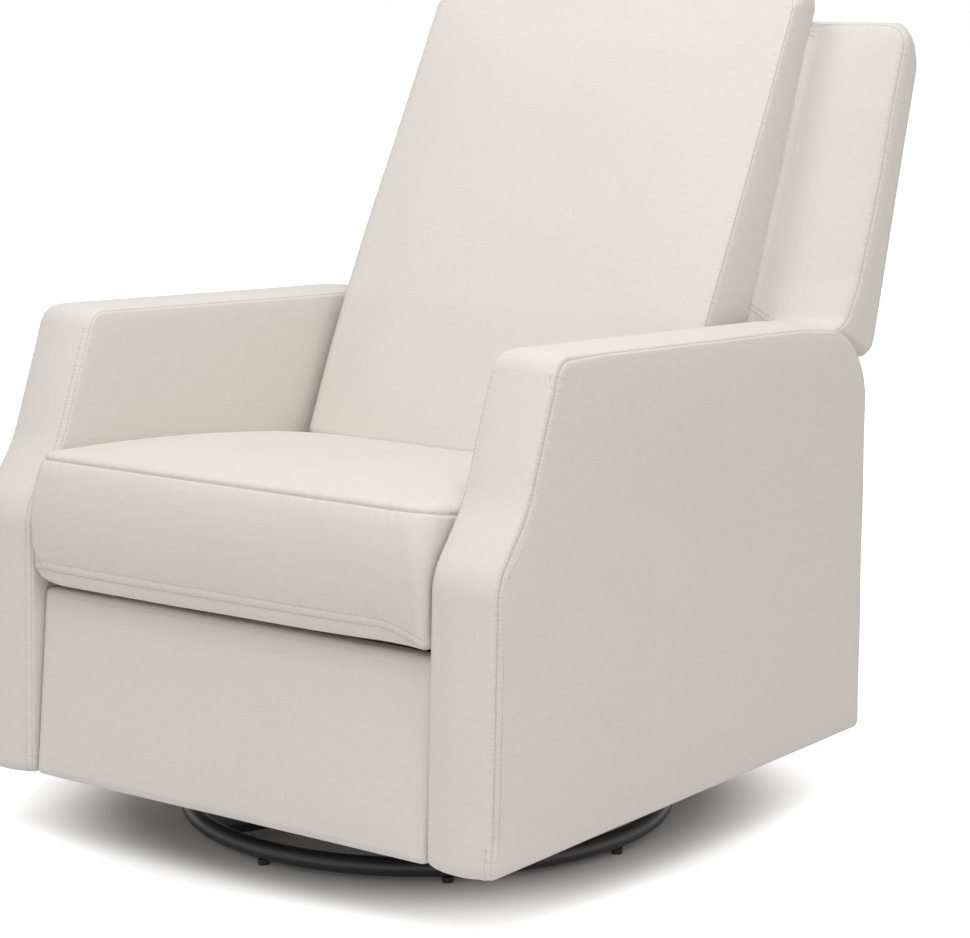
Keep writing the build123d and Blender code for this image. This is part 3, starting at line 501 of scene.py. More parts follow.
def makeWeave():
    # plain weave of uneven yarns in two directions, on the cloth's own map in metres
    group, given, result = newGroup(
        "linenWeave",
        [("Yarns", "NodeSocketFloat", 900.0), ("Slub", "NodeSocketFloat", 1.0)],
        [("Height", "NodeSocketFloat"), ("Shade", "NodeSocketFloat"), ("Fleck", "NodeSocketFloat")])
    links = group.links
    place = group.nodes.new("ShaderNodeUVMap")
    place.uv_map = "UVMap"
    axes = group.nodes.new("ShaderNodeSeparateXYZ")
    links.new(place.outputs[0], axes.inputs[0])
    heights = []
    for mine, other in ((0, 1), (1, 0)):
        count = mathNode(group, "MULTIPLY", axes.outputs[mine], given.outputs["Yarns"])
        cross = mathNode(group, "MULTIPLY", axes.outputs[other], given.outputs["Yarns"])
        row = mathNode(group, "FLOOR", mathNode(group, "MULTIPLY", cross, 0.3183))
        lift = mathNode(group, "SINE", mathNode(group, "ADD", count, mathNode(group, "MULTIPLY", row, 3.1416)))
        body = mathNode(group, "ABSOLUTE", mathNode(group, "SINE", cross))
        heights.append(mathNode(group, "MULTIPLY", mathNode(group, "MULTIPLY_ADD", lift, 0.5), body))
    weave = mathNode(group, "ADD", heights[0], heights[1])
    slubs = [stretchedNoise(group, place.outputs[0], stretch, Scale=1.0, Detail=2.0, Roughness=0.55)
             for stretch in ((95.0, 800.0, 1.0), (700.0, 120.0, 1.0))]
    uneven = mathNode(group, "SUBTRACT", mathNode(group, "ADD", slubs[0], slubs[1]), 1.0)
    uneven = mathNode(group, "MULTIPLY", uneven, given.outputs["Slub"])
    links.new(mathNode(group, "ADD", mathNode(group, "MULTIPLY", weave, 0.35), uneven), result.inputs["Height"])
    links.new(uneven, result.inputs["Shade"])
    # here and there a thicker, paler length of yarn
    flecks = []
    for stretch in ((55.0, 1050.0, 1.0), (1050.0, 75.0, 1.0)):
        noise = stretchedNoise(group, place.outputs[0], stretch, Scale=1.0, Detail=0.0)
        flecks.append(rampBetween(group, noise, 0.70, 0.80))
    links.new(mathNode(group, "MAXIMUM", flecks[0], flecks[1]), result.inputs["Fleck"])
    return group


def makeSeamShadeAndGathers():
    # painted shade in the fold of a seam, broken into dots like stitches, and the small gathers that the thread pulls
    # in the cloth beside it
    group, given, result = newGroup(
        "seamShadeAndGathers", [("Width", "NodeSocketFloat", 0.0011)],
        [("Line", "NodeSocketFloat"), ("Height", "NodeSocketFloat")])
    mark = addNode(group, "ShaderNodeAttribute", attribute_name="seam")
    place = addNode(group, "ShaderNodeAttribute", attribute_name="along")
    # the painted shade is strongest on the seam and fades out over its width, in dots along it
    near = mathNode(group, "DIVIDE", mark.outputs["Fac"], given.outputs["Width"])
    near = mathNode(group, "SUBTRACT", 1.0, near, clamp=True)
    dots = mathNode(group, "SINE", mathNode(group, "MULTIPLY", place.outputs["Fac"], 1900.0))
    dots = mathNode(group, "MULTIPLY_ADD", dots, 0.35)
    dots.node.inputs[2].default_value = 0.65
    group.links.new(mathNode(group, "MULTIPLY", near, dots), result.inputs["Line"])
    drift = addNode(group, "ShaderNodeTexNoise", noise_dimensions="1D", Scale=60.0, Detail=2.0)
    group.links.new(place.outputs["Fac"], drift.inputs["W"])
    beat = mathNode(group, "MULTIPLY", place.outputs["Fac"], 1150.0)
    beat = mathNode(group, "ADD", beat, mathNode(group, "MULTIPLY", drift.outputs["Fac"], 14.0))
    beat = mathNode(group, "MULTIPLY", mathNode(group, "SINE", beat), drift.outputs["Fac"])
    start = mathNode(group, "DIVIDE", mark.outputs["Fac"], 0.0018, clamp=True)
    end = mathNode(group, "SUBTRACT", 1.0, mathNode(group, "DIVIDE", mark.outputs["Fac"], 0.011), clamp=True)
    gathers = mathNode(group, "MULTIPLY", mathNode(group, "MULTIPLY", start, end), beat)
    group.links.new(mathNode(group, "SUBTRACT", gathers, near), result.inputs["Height"])
    return group


fabric = {
    "cream": (0.780, 0.736, 0.688),
    "shadeYarn": (0.60, 0.555, 0.505),
    "fleck": (0.86, 0.83, 0.79),
    # painted shade in the fold of a seam: its colour and how much of it is laid on
    "fold": (0.36, 0.32, 0.28), "foldShadeShare": 0.36,  # in the fold of a seam
    "yarns": 5200.0,  # radians of yarn in a metre of cloth
}


def makeFabric(name):
    material, tree, surface, place = newMaterial(name)
    weave = addNode(tree, "ShaderNodeGroup", node_tree=weaveGroup)
    weave.inputs["Yarns"].default_value = fabric["yarns"]
    seam = addNode(tree, "ShaderNodeGroup", node_tree=seamGroup)
    cloud = addNode(tree, "ShaderNodeTexNoise", Scale=7.0, Detail=4.0, Roughness=0.6)
    tree.links.new(place.outputs["Object"], cloud.inputs["Vector"])
    amount = mathNode(tree, "MULTIPLY", rampBetween(tree, weave.outputs["Shade"], -0.35, 0.35), 0.20)
    drift = mathNode(tree, "MULTIPLY", mathNode(tree, "SUBTRACT", cloud.outputs["Fac"], 0.5), 0.14)
    yarn = mixColours(tree, mathNode(tree, "ADD", amount, drift, clamp=True), fabric["cream"], fabric["shadeYarn"])
    flecked = mixColours(tree, mathNode(tree, "MULTIPLY", weave.outputs["Fleck"], 0.5), yarn, fabric["fleck"])
    # painted shade laid into the cloth along the folds of the seams
    paintedFoldShade = mathNode(tree, "MULTIPLY", seam.outputs["Line"], fabric["foldShadeShare"])
    tree.links.new(mixColours(tree, paintedFoldShade, flecked, fabric["fold"]), surface.inputs["Base Color"])
    rough = mathNode(tree, "MULTIPLY_ADD", cloud.outputs["Fac"], 0.08)
    rough.node.inputs[2].default_value = 0.84
    tree.links.new(rough, surface.inputs["Roughness"])
    surface.inputs["Specular IOR Level"].default_value = 0.25
    surface.inputs["Sheen Weight"].default_value = 0.12
    surface.inputs["Sheen Roughness"].default_value = 0.5
    bump = addNode(tree, "ShaderNodeBump", Strength=0.35, Distance=0.0004)
    tree.links.new(weave.outputs["Height"], bump.inputs["Height"])
    gathers = addNode(tree, "ShaderNodeBump", Strength=0.6, Distance=0.0006)
    tree.links.new(seam.outputs["Height"], gathers.inputs["Height"])
    tree.links.new(bump.outputs["Normal"], gathers.inputs["Normal"])
    tree.links.new(gathers.outputs["Normal"], surface.inputs["Normal"])
    return material


def makeThread():
    material, tree, surface, place = newMaterial("seamThread")
    twist = addNode(tree, "ShaderNodeTexNoise", Scale=900.0, Detail=1.0)
    tree.links.new(place.outputs["Object"], twist.inputs["Vector"])
    tone = mixColours(tree, twist.outputs["Fac"], (0.67, 0.62, 0.565), (0.50, 0.45, 0.40))
    tree.links.new(tone, surface.inputs["Base Color"])
    surface.inputs["Roughness"].default_value = 0.55
    return material


hardware = {
    # base colour, metallic, roughness, and size and strength of the unevenness
    "base_steel": ((0.030, 0.030, 0.033), 0.0, 0.42, 900.0, 0.35),
    "mechanism_steel": ((0.045, 0.045, 0.050), 0.5, 0.38, 420.0, 0.25),
    "bright_steel": ((0.60, 0.60, 0.58), 1.0, 0.30, 260.0, 0.20),
    "spring_steel": ((0.34, 0.34, 0.36), 1.0, 0.36, 320.0, 0.25),
    "glide_plastic": ((0.024, 0.024, 0.026), 0.0, 0.55, 1500.0, 0.45),
}


def makeHardware(name, base, metallic, roughness, scale, uneven):
    material, tree, surface, place = newMaterial(name + "Finish")
    grain = addNode(tree, "ShaderNodeTexNoise", Scale=scale, Detail=2.0)
    cloud = addNode(tree, "ShaderNodeTexNoise", Scale=14.0, Detail=5.0, Roughness=0.65)
    for noise in (grain, cloud):
        tree.links.new(place.outputs["Object"], noise.inputs["Vector"])
    tone = mixColours(tree, cloud.outputs["Fac"], [c * 0.8 for c in base], [c * 1.25 for c in base])
    tree.links.new(tone, surface.inputs["Base Color"])
    rough = mathNode(tree, "MULTIPLY_ADD", cloud.outputs["Fac"], 0.22)
    rough.node.inputs[2].default_value = roughness - 0.11
    tree.links.new(rough, surface.inputs["Roughness"])
    surface.inputs["Metallic"].default_value = metallic
    addBump(tree, surface, grain.outputs["Fac"], uneven, 0.0002)
    return material


def makeWood():
    # plywood and rails: long grain with darker streaks
    material, tree, surface, place = newMaterial("frameWoodFinish")
    grain = stretchedNoise(tree, place.outputs["Object"], (5.0, 60.0, 60.0), Scale=3.0, Detail=6.0, Roughness=0.6,
                           Distortion=0.6)
    tone = mixColours(tree, grain, (0.50, 0.35, 0.20), (0.78, 0.62, 0.43))
    tree.links.new(tone, surface.inputs["Base Color"])
    surface.inputs["Roughness"].default_value = 0.62
    addBump(tree, surface, grain, 0.3, 0.0003)
    return material


def makeWebbing():
    # elastic straps: dark warp ribs with a lighter filling yarn
    material, tree, surface, place = newMaterial("webbingFinish")
    axes = tree.nodes.new("ShaderNodeSeparateXYZ")
    tree.links.new(place.outputs["Object"], axes.inputs[0])
    ribs = mathNode(tree, "SINE", mathNode(tree, "MULTIPLY", axes.outputs[0], 2400.0))
    rows = mathNode(tree, "SINE", mathNode(tree, "MULTIPLY", axes.outputs[2], 3200.0))
    weave = mathNode(tree, "MULTIPLY", ribs, rows)
    tone = mixColours(tree, mathNode(tree, "ADD", weave, 0.5, clamp=True), (0.16, 0.145, 0.13), (0.34, 0.31, 0.28))
    tree.links.new(tone, surface.inputs["Base Color"])
    surface.inputs["Roughness"].default_value = 0.85
    addBump(tree, surface, weave, 0.5, 0.0004)
    return material


weaveGroup = makeWeave()
seamGroup = makeSeamShadeAndGathers()
creamFabric = makeFabric("creamLinen")
threadFinish = makeThread()
finishes = {name: makeHardware(name, *look) for name, look in hardware.items()}
finishes.update(frame_wood=makeWood(), webbing=makeWebbing(), upholstery=creamFabric)
for node in [thing for thing in scene.objects if thing.type == "MESH"]:
    for slot in node.material_slots:
        slot.material = finishes.get(slot.material.name.split(".")[0], slot.material)
print("stage: finishes")


arm = {
    "inner": armLow.x + 0.0035,
    # setback and height, up the front, along the top and down the rear
    "corners": [(-0.0075, 0.079), (0.0030, 0.394), (0.0540, 0.459), (0.1135, 0.6150), (0.6000, 0.5950),
                (0.7630, 0.5775), (0.7630, 0.079)],
    "radii": [0.010, 0.065, 0.150, 0.027, 0.300, 0.098, 0.010],
    "splits": (0, 3, 5, 6),
    "edge": 0.0065,  # rounding between the front band and the side panels
    "angles": (10, 18, 26, 32, 37, 41, 45, 50, 56, 64, 72),  # the side panel's seam is at 41
    "dome": 0.0055,  # of the band between the seams
    "plump": 0.0034, "plumpReach": 0.029,  # of the side panels
    "outerRound": 2.7, "innerRound": 0.7,  # how much deeper the rounding is down the front
    "stitchAside": {"left": (0.0015, 0.0078), "right": (0.0078, 0.0078)},  # from both seams of the front band
    "cuts": (150, 136),
}


def buildArm(name, low, high, side):
    rim = rimLevels(low, high, arm["edge"], arm["angles"])
    reach = (high - low) / 2 - (rim[-1][0] - low)
    band = [0.0016, 0.0042, 0.0070, 0.0105, 0.0155, 0.0220, 0.0295]
    band = [(rim[-1][0] + d, rim[-1][1] - arm["dome"] * (1 - (1 - d / reach) ** 2)) for d in band]
    middle = [((low + high) / 2, rim[-1][1] - arm["dome"])]
    half = rim + band
    levels = half + middle + [(low + high - x, inset) for x, inset in reversed(half)]
    cuts = (len(levels) - 1, *arm["cuts"])
    piece, cells = gridBlock(name, cuts)
    x, insets = ringValues(levels, cells[:, 0])
    sides = outlineSides(arm["corners"], arm["radii"], arm["splits"])
    u, v = easeEnds(cells[:, 1] / cuts[1], 0.4), easeEnds(cells[:, 2] / cuts[2], 0.4)
    # the outer edge of the front is rounder than the one by the sitter
    rough = outlinePoint(sides, u, v, insets)
    outer = (cells[:, 0] * 2 > cuts[0]) == (side == 0)
    fold = np.where(outer, arm["outerRound"], arm["innerRound"])
    fold = 1 + (fold - 1) * np.clip((0.19 - rough[:, 0]) / 0.09, 0, 1) * np.clip((rough[:, 1] - 0.090) / 0.03, 0, 1)
    flatWay = outlinePoint(sides, u, v, np.where(insets > 0, insets * fold, insets))
    for level, way in ((0, -1), (cuts[0], 1)):
        cap = np.nonzero(cells[:, 0] == level)[0]
        rimKeys = ringOrder(cells, cuts, level, 0, ("low", "top", "high", "foot"))
        away = rimDistance(flatWay[cap], flatWay[rimKeys])
        reach = arm["plumpReach"] * np.clip(fold[cap], 1, 2)
        x[cap] += way * arm["plump"] * (1 - np.exp(-away / reach))
    # the plump panels hardly stand out of the arm's thickness, and the underside is flat
    middleX = (low + high) / 2
    x = middleX + (x - middleX) * (1 - 0.3 * arm["plump"] / ((high - low) / 2))
    points = np.stack([x, flatWay[:, 0] + frontY, np.maximum(flatWay[:, 1], arm["corners"][0][1])], axis=1)
    setPoints(piece, points)
    seam = arm["angles"].index(41)
    lines = [points[ringOrder(cells, cuts, level, 0, ("low", "top", "high"))] for level in (seam, cuts[0] - seam)]
    soften(piece, 0.0008, 0.16, 11 + side)
    sewSeams(piece, lines, depth=0.0009, reach=0.0020, pucker=0.0003, seed=3 + side)
    finishPad(piece, "carriage", [name.replace("armPad", "arm_cover")])
    return piece, lines


armLeft, armLeftSeams = buildArm("armPad_left", arm["inner"], armHigh.x, 0)
armRight, armRightSeams = buildArm("armPad_right", -armHigh.x, -arm["inner"], 1)
for side, pad, lines in (("left", armLeft, armLeftSeams), ("right", armRight, armRightSeams)):
    for number, line in enumerate(lines):
        front = line[(line[:, 2] < 0.597) & (line[:, 1] < frontY + 0.12)]
        aside = (1, -1)[number] * arm["stitchAside"][side][number]
        stitchRow(f"armStitch_{side}_{number}", pad, front, (aside, 0, 0), "carriage")
print("stage: arms")


seat = {
    "halfWidth": 0.2895,
    # height, inset at the sides and plan corner of each ring from the underside to the crown
    "rings": [(0.3122, 0.024, 0.014), (0.3127, 0.0195, 0.014), (0.3143, 0.0145, 0.013), (0.3172, 0.0098, 0.012),
              (0.3210, 0.0060, 0.011), (0.3250, 0.0036, 0.011), (0.3285, 0.0022, 0.011), (0.3307, 0.0016, 0.011),
              (0.3330, 0.0012, 0.011), (0.3350, 0.0009, 0.011), (0.3370, 0.0007, 0.011), (0.3393, 0.0005, 0.011),
              (0.3415, 0.0003, 0.011), (0.3450, 0.0005, 0.012), (0.3500, 0.0002, 0.013), (0.3560, 0.0, 0.013),
              (0.3630, 0.0, 0.013), (0.3710, 0.0, 0.0135), (0.3800, 0.0, 0.014), (0.3890, 0.0, 0.015),
              (0.3980, 0.0, 0.016), (0.4070, 0.0, 0.0175), (0.4160, 0.0001, 0.0195), (0.4240, 0.0003, 0.0215),
              (0.4310, 0.0005, 0.0235), (0.4370, 0.0007, 0.0255), (0.4420, 0.0009, 0.0270), (0.4460, 0.0011, 0.0285),
              (0.4495, 0.0013, 0.0295), (0.4518, 0.0015, 0.0300), (0.4533, 0.0018, 0.0303), (0.4542, 0.0024, 0.0305),
              (0.4551, 0.0030, 0.0305), (0.4563, 0.0030, 0.0305), (0.4580, 0.0033, 0.0305), (0.4600, 0.0042, 0.0300),
              (0.4619, 0.0061, 0.0295), (0.4634, 0.0092, 0.0285), (0.4643, 0.0135, 0.0270), (0.4648, 0.0185, 0.0255)],
    # the front's setback by height
    "front": [(0.3122, 0.015), (0.3127, 0.0105), (0.3143, 0.0055), (0.3172, 0.0015), (0.3210, -0.0008),
              (0.3285, -0.0028), (0.3350, -0.0036), (0.3450, -0.0062), (0.3600, -0.0092), (0.3800, -0.0112),
              (0.4000, -0.0112), (0.4160, -0.0096), (0.4310, -0.0066), (0.4420, -0.0034), (0.4495, -0.0002),
              (0.4533, 0.0018), (0.4542, 0.0028), (0.4551, 0.0036), (0.4563, 0.0036), (0.4580, 0.0040),
              (0.4600, 0.0052), (0.4619, 0.0076), (0.4634, 0.0112), (0.4643, 0.0160), (0.4648, 0.0215)],
    "topSeam": 32, "lowSeams": (7, 11),
    "crown": 0.0052, "puff": 0.0035,
    "tuck": 0.0105,  # how far the top seam drops where it turns back along the arms
    "dips": (0.0160, 0.0060),  # of the lower seam at the sitter's left and right
    "sag": 0.0062,  # of the front's lower edge over the footrest
    "fall": [(0.0, 0.0), (0.02, 0.0), (0.065, 0.0004), (0.125, -0.0026), (0.190, -0.0066), (0.255, -0.0118),
             (0.325, -0.0194), (0.390, -0.0285), (0.475, -0.0405), (0.560, -0.053)],
}


def buildSeat():
    levels = seat["rings"]
    cuts = (150, 116, len(levels) - 1)
    piece, cells = gridBlock("seatPad", cuts)
    half, rear = seat["halfWidth"], seatHigh.y - frontY
    frontLine = np.array(seat["front"])

    def plan(level):
        height, inset, corner = level
        low, high = np.interp(height, frontLine[:, 0], frontLine[:, 1]), rear - inset
        left = inset - half
        right = half - inset * (0.4 if height < 0.34 else 1)  # pressed square against the arm at this end
        return [(left, low), (left, high), (right, high), (right, low)], [corner] * 4

    flatWay = ringedPoints(cells, cuts, 2, levels, plan, (0.45, 0.45))
    x, setback = flatWay[:, 0], flatWay[:, 1]
    z = ringValues(levels, cells[:, 2])[0]
    height = z.copy()
    # the front falls back a little at both ends
    setback += 0.003 * (np.abs(x) / half) ** 9 * np.clip(1 - setback / 0.06, 0, 1) * np.clip((0.455 - z) / 0.03, 0, 1)
    # the top swells, falls towards the back and is tight at its edges
    top = cells[:, 2] == cuts[2]
    swell = rimRise(x, setback, half - 0.0185, 0.0215, rear - 0.0185, 0.040)
    z += np.where(top, seat["crown"] * swell, 0)
    fall = np.array(seat["fall"])
    z += np.clip((height - 0.335) / 0.12, 0, 1) * np.interp(setback, fall[:, 0], fall[:, 1])
    # the top seam drops a little where it turns back along the arms
    ends = np.clip((np.abs(x) - 0.236) / 0.052, 0, 1) ** 2 * np.clip((setback - 0.004) / 0.058, 0, 1)
    z -= seat["tuck"] * ends * np.clip((height - 0.39) / 0.06, 0, 1)
    # the lower seam dips at both ends, more so at the sitter's left
    low = np.clip((0.372 - height) / 0.034, 0, 1) * np.clip((height - 0.3125) / 0.016, 0, 1)
    z -= seat["dips"][0] * np.clip((x - 0.225) / 0.060, 0, 1) ** 1.8 * low
    z -= seat["dips"][1] * np.clip((-x - 0.266) / 0.020, 0, 1) ** 1.5 * low
    # the front's lower edge sags over the footrest
    sag = np.clip(1 - setback / 0.045, 0, 1) * (0.35 + 0.65 * np.clip((0.22 - x) / 0.30, 0, 1) ** 0.7)
    sag *= np.clip((x + 0.300) / 0.05, 0, 1)
    z -= seat["sag"] * sag * np.clip((0.356 - height) / 0.034, 0, 1)
    points = np.stack([x, setback + frontY, z], axis=1)
    setPoints(piece, points)
    lines = [points[ringOrder(cells, cuts, seat["topSeam"], 2, ("low", "top", "high", "foot"))]]
    lowLines = [points[ringOrder(cells, cuts, level, 2, ("low", "top", "high", "foot"))]
                for level in seat["lowSeams"]]
    away, _, _ = seamDistance(points, lines + lowLines)
    face = (setback < 0.03) & (height > 0.345)
    free = np.clip((away - 0.006) / 0.055, 0, 1)
    free = np.where(top, 1.0, np.where(face, 0.5, 0.0)) * free ** 2 * (3 - 2 * free)
    ends = np.clip((0.283 - np.abs(x)) / 0.090, 0, 1)
    free *= ends ** 2 * (3 - 2 * ends)
    puff(piece, 1 - free, seat["puff"], 110)
    soften(piece, 0.0009, 0.15, 21)
    # the strip between the two lower stitch lines is thicker cloth
    away, _, _ = seamDistance(getPoints(piece), [np.mean(lowLines, axis=0)])
    lift = 0.0013 * np.clip(1 - (away / 0.0052) ** 6, 0, 1)
    setPoints(piece, getPoints(piece) + getPoints(piece, "normal") * lift[:, None])
    sewSeams(piece, lowLines, depth=0.0006, reach=0.0016, pucker=0.0004, pitch=0.012, seed=6, mark=False)
    sewSeams(piece, lines, depth=0.0008, reach=0.0018, pucker=0.0007, pitch=0.017, seed=5)
    # the lower stitch lines get the painted fold shade too, a little more faintly
    low = seamDistance(getPoints(piece), lowLines)[0] + 0.0002
    layer = piece.data.attributes["seam"]
    values = np.zeros(len(low), np.float32)
    layer.data.foreach_get("value", values)
    layer.data.foreach_set("value", np.minimum(values, low).astype(np.float32))
    finishPad(piece, "carriage", ["seat_cushion"])
    return piece, lowLines


seatPad, seatLowSeams = buildSeat()
for number, line in enumerate(seatLowSeams):
    front = line[line[:, 1] < frontY + 0.006]
    stitchRow(f"seatStitch_{number}", seatPad, front[np.argsort(front[:, 0])], (0, 0, 0), "carriage")
print("stage: seat cushion")


back = {
    "front": [(0.483, 0.335), (0.480, 0.4285), (0.518, 0.514), (0.555, 0.5955), (0.6085, 0.698), (0.646, 0.7675),
              (0.7555, 0.9755), (0.7605, 0.985)],
    "rear": [(0.551, 0.335), (0.589, 0.432), (0.652, 0.590), (0.686, 0.671), (0.720, 0.756), (0.755, 0.837),
             (0.783, 0.905), (0.813, 0.983)],
    "halfWidth": [(0.0, 0.276), (0.6, 0.276), (1.0, 0.272)],
    "corner": 0.028,
    "crown": 0.0120, "crownReach": 0.050, "puff": 0.0050,
    # share of the thickness and inset of each ring from the face to the rear
    "rings": [(-0.062, 0.0120), (-0.050, 0.0085), (-0.037, 0.0056), (-0.024, 0.0032), (-0.011, 0.0014),
              (-0.004, 0.0006), (0.0, 0.0002), (0.006, 0.0), (0.016, -0.0003), (0.030, -0.0008), (0.050, -0.0014),
              (0.080, -0.0018), (0.12, -0.0022), (0.18, -0.0026), (0.26, -0.0029), (0.35, -0.0030),
              (0.45, -0.0030), (0.55, -0.0028), (0.65, -0.0024), (0.75, -0.0018), (0.83, -0.0012),
              (0.89, -0.0006), (0.93, -0.0001), (0.957, 0.0005), (0.973, 0.0012), (0.985, 0.0026),
              (0.994, 0.0054), (1.0, 0.0100)],
    "frontSeam": 6, "rearSeam": 24,
    "topBulge": 0.030,
}


def buildBack():
    levels = back["rings"]
    cuts = (140, len(levels) - 1, 176)
    piece, cells = gridBlock("backPad", cuts)
    share, insets = ringValues(levels, cells[:, 1])
    front, rear = np.array(back["front"]), np.array(back["rear"])
    along = [np.concatenate([[0], np.cumsum(np.linalg.norm(np.diff(line, axis=0), axis=1))]) for line in (front, rear)]
    tall = along[0][-1]
    half = back["halfWidth"][0][1]
    sides = outlineSides([(-half, 0), (-half, tall), (half, tall), (half, 0)],
                         [0.012, back["corner"], back["corner"], 0.012], (0, 1, 2, 3))
    u, v = cells[:, 0] / cuts[0], cells[:, 2] / cuts[2]
    face = outlinePoint(sides, easeEnds(u, 0.5), easeEnds(v, 0.5), insets)
    x, h = face[:, 0], face[:, 1]
    wide = np.array(back["halfWidth"])
    x = x * np.interp(h / tall, wide[:, 0], wide[:, 1]) / half
    # the boxing along the top rises well above its seams
    rise = back["topBulge"] * np.sin(math.pi * np.clip(share, 0, 1)) ** 0.8
    h = h + rise * np.clip((h - tall + 0.05) / 0.05, 0, 1) * (1 - 0.55 * np.clip(np.abs(x) / half, 0, 1) ** 6)
    places = []
    for line, lengths in ((front, along[0]), (rear, along[1])):
        spot = h / tall * lengths[-1]
        step = (line[-1] - line[-2]) / (lengths[-1] - lengths[-2])
        over = np.clip(spot - lengths[-1], 0, None)
        places.append(np.stack([np.interp(spot, lengths, line[:, k]) + over * step[k] for k in (0, 1)], axis=1))
    # the face swells towards the sitter
    cap = cells[:, 1] == 0
    swell = rimRise(face[:, 0], face[:, 1], half - 0.012, 0.012, tall - 0.012, back["crownReach"])
    thick = np.linalg.norm(places[1] - places[0], axis=1)
    spread = share - np.where(cap, back["crown"] * swell / thick, 0)
    flatWay = places[0] + (places[1] - places[0]) * spread[:, None]
    points = np.stack([x, flatWay[:, 0] + frontY, flatWay[:, 1]], axis=1)
    setPoints(piece, points)
    lines = [points[ringOrder(cells, cuts, back[key], 1, ("low", "top", "high"))] for key in ("frontSeam", "rearSeam")]
    away, _, _ = seamDistance(points, lines)
    sewn = (cells[:, 1] <= back["rearSeam"]) & (cells[:, 2] > 0)
    free = np.where(sewn, np.clip((away - 0.006) / 0.075, 0, 1), 0)
    puff(piece, 1 - free ** 2 * (3 - 2 * free), back["puff"], 220)
    soften(piece, 0.0012, 0.17, 31)
    sewSeams(piece, lines, depth=0.0003, reach=0.0020, pucker=0.0006, pitch=0.012, seed=7)
    finishPad(piece, "backrest", ["back_cushion"])
    return piece, lines


backPad, backSeams = buildBack()
seamCord("backSeamFront", backPad, backSeams[0], "backrest")
seamCord("backSeamRear", backPad, backSeams[1], "backrest", thick=0.0012)
print("stage: back cushion")


wings = {
    "reach": coverHigh.x,
    "knee": backHigh.x,  # where the wings leave the cushion's side
    "top": coverHigh.z - 0.003,
    # setback and height up the front and rear, by the cushion's side and at the outer edge
    "innerFront": [(0.640, 0.562), (0.793, 0.944)],
    "outerFront": [(0.7215, 0.5785), (0.7475, 0.593), (0.7735, 0.636), (0.7975, 0.699), (0.8215, 0.765),
                   (0.8435, 0.842), (0.8730, 0.925), (0.8805, 0.944)],
    "innerRear": [(0.8260, 0.550), (0.9680, 0.944)],
    "outerRear": [(0.8110, 0.5235), (0.9220, 0.944)],
    "corner": (0.027, 0.046),  # at the front and at the rear
    "edge": 0.009, "angles": (13, 22, 31, 40, 47, 52, 56, 60, 66, 74, 84),
    "rearEdge": 0.009, "rearAngles": (0, 18, 36, 54, 72, 84), "rise": 0.0105,
    "topRound": (0.045, 0.036), "footRound": (0.012, 0.026),
    "plump": 0.0035, "plumpReach": 0.020,
    "bend": 0.46, "bendReach": 0.075,
    "foot": 0.575,
    "stitch": [(0.281, 0.655, 0.613), (0.302, 0.692, 0.590)],  # ends of the stitched slant at the foot
}


def alongLine(line, share):
    line = np.array(line)
    lengths = np.concatenate([[0], np.cumsum(np.linalg.norm(np.diff(line, axis=0), axis=1))])
    return np.stack([np.interp(share * lengths[-1], lengths, line[:, k]) for k in (0, 1)], axis=1)


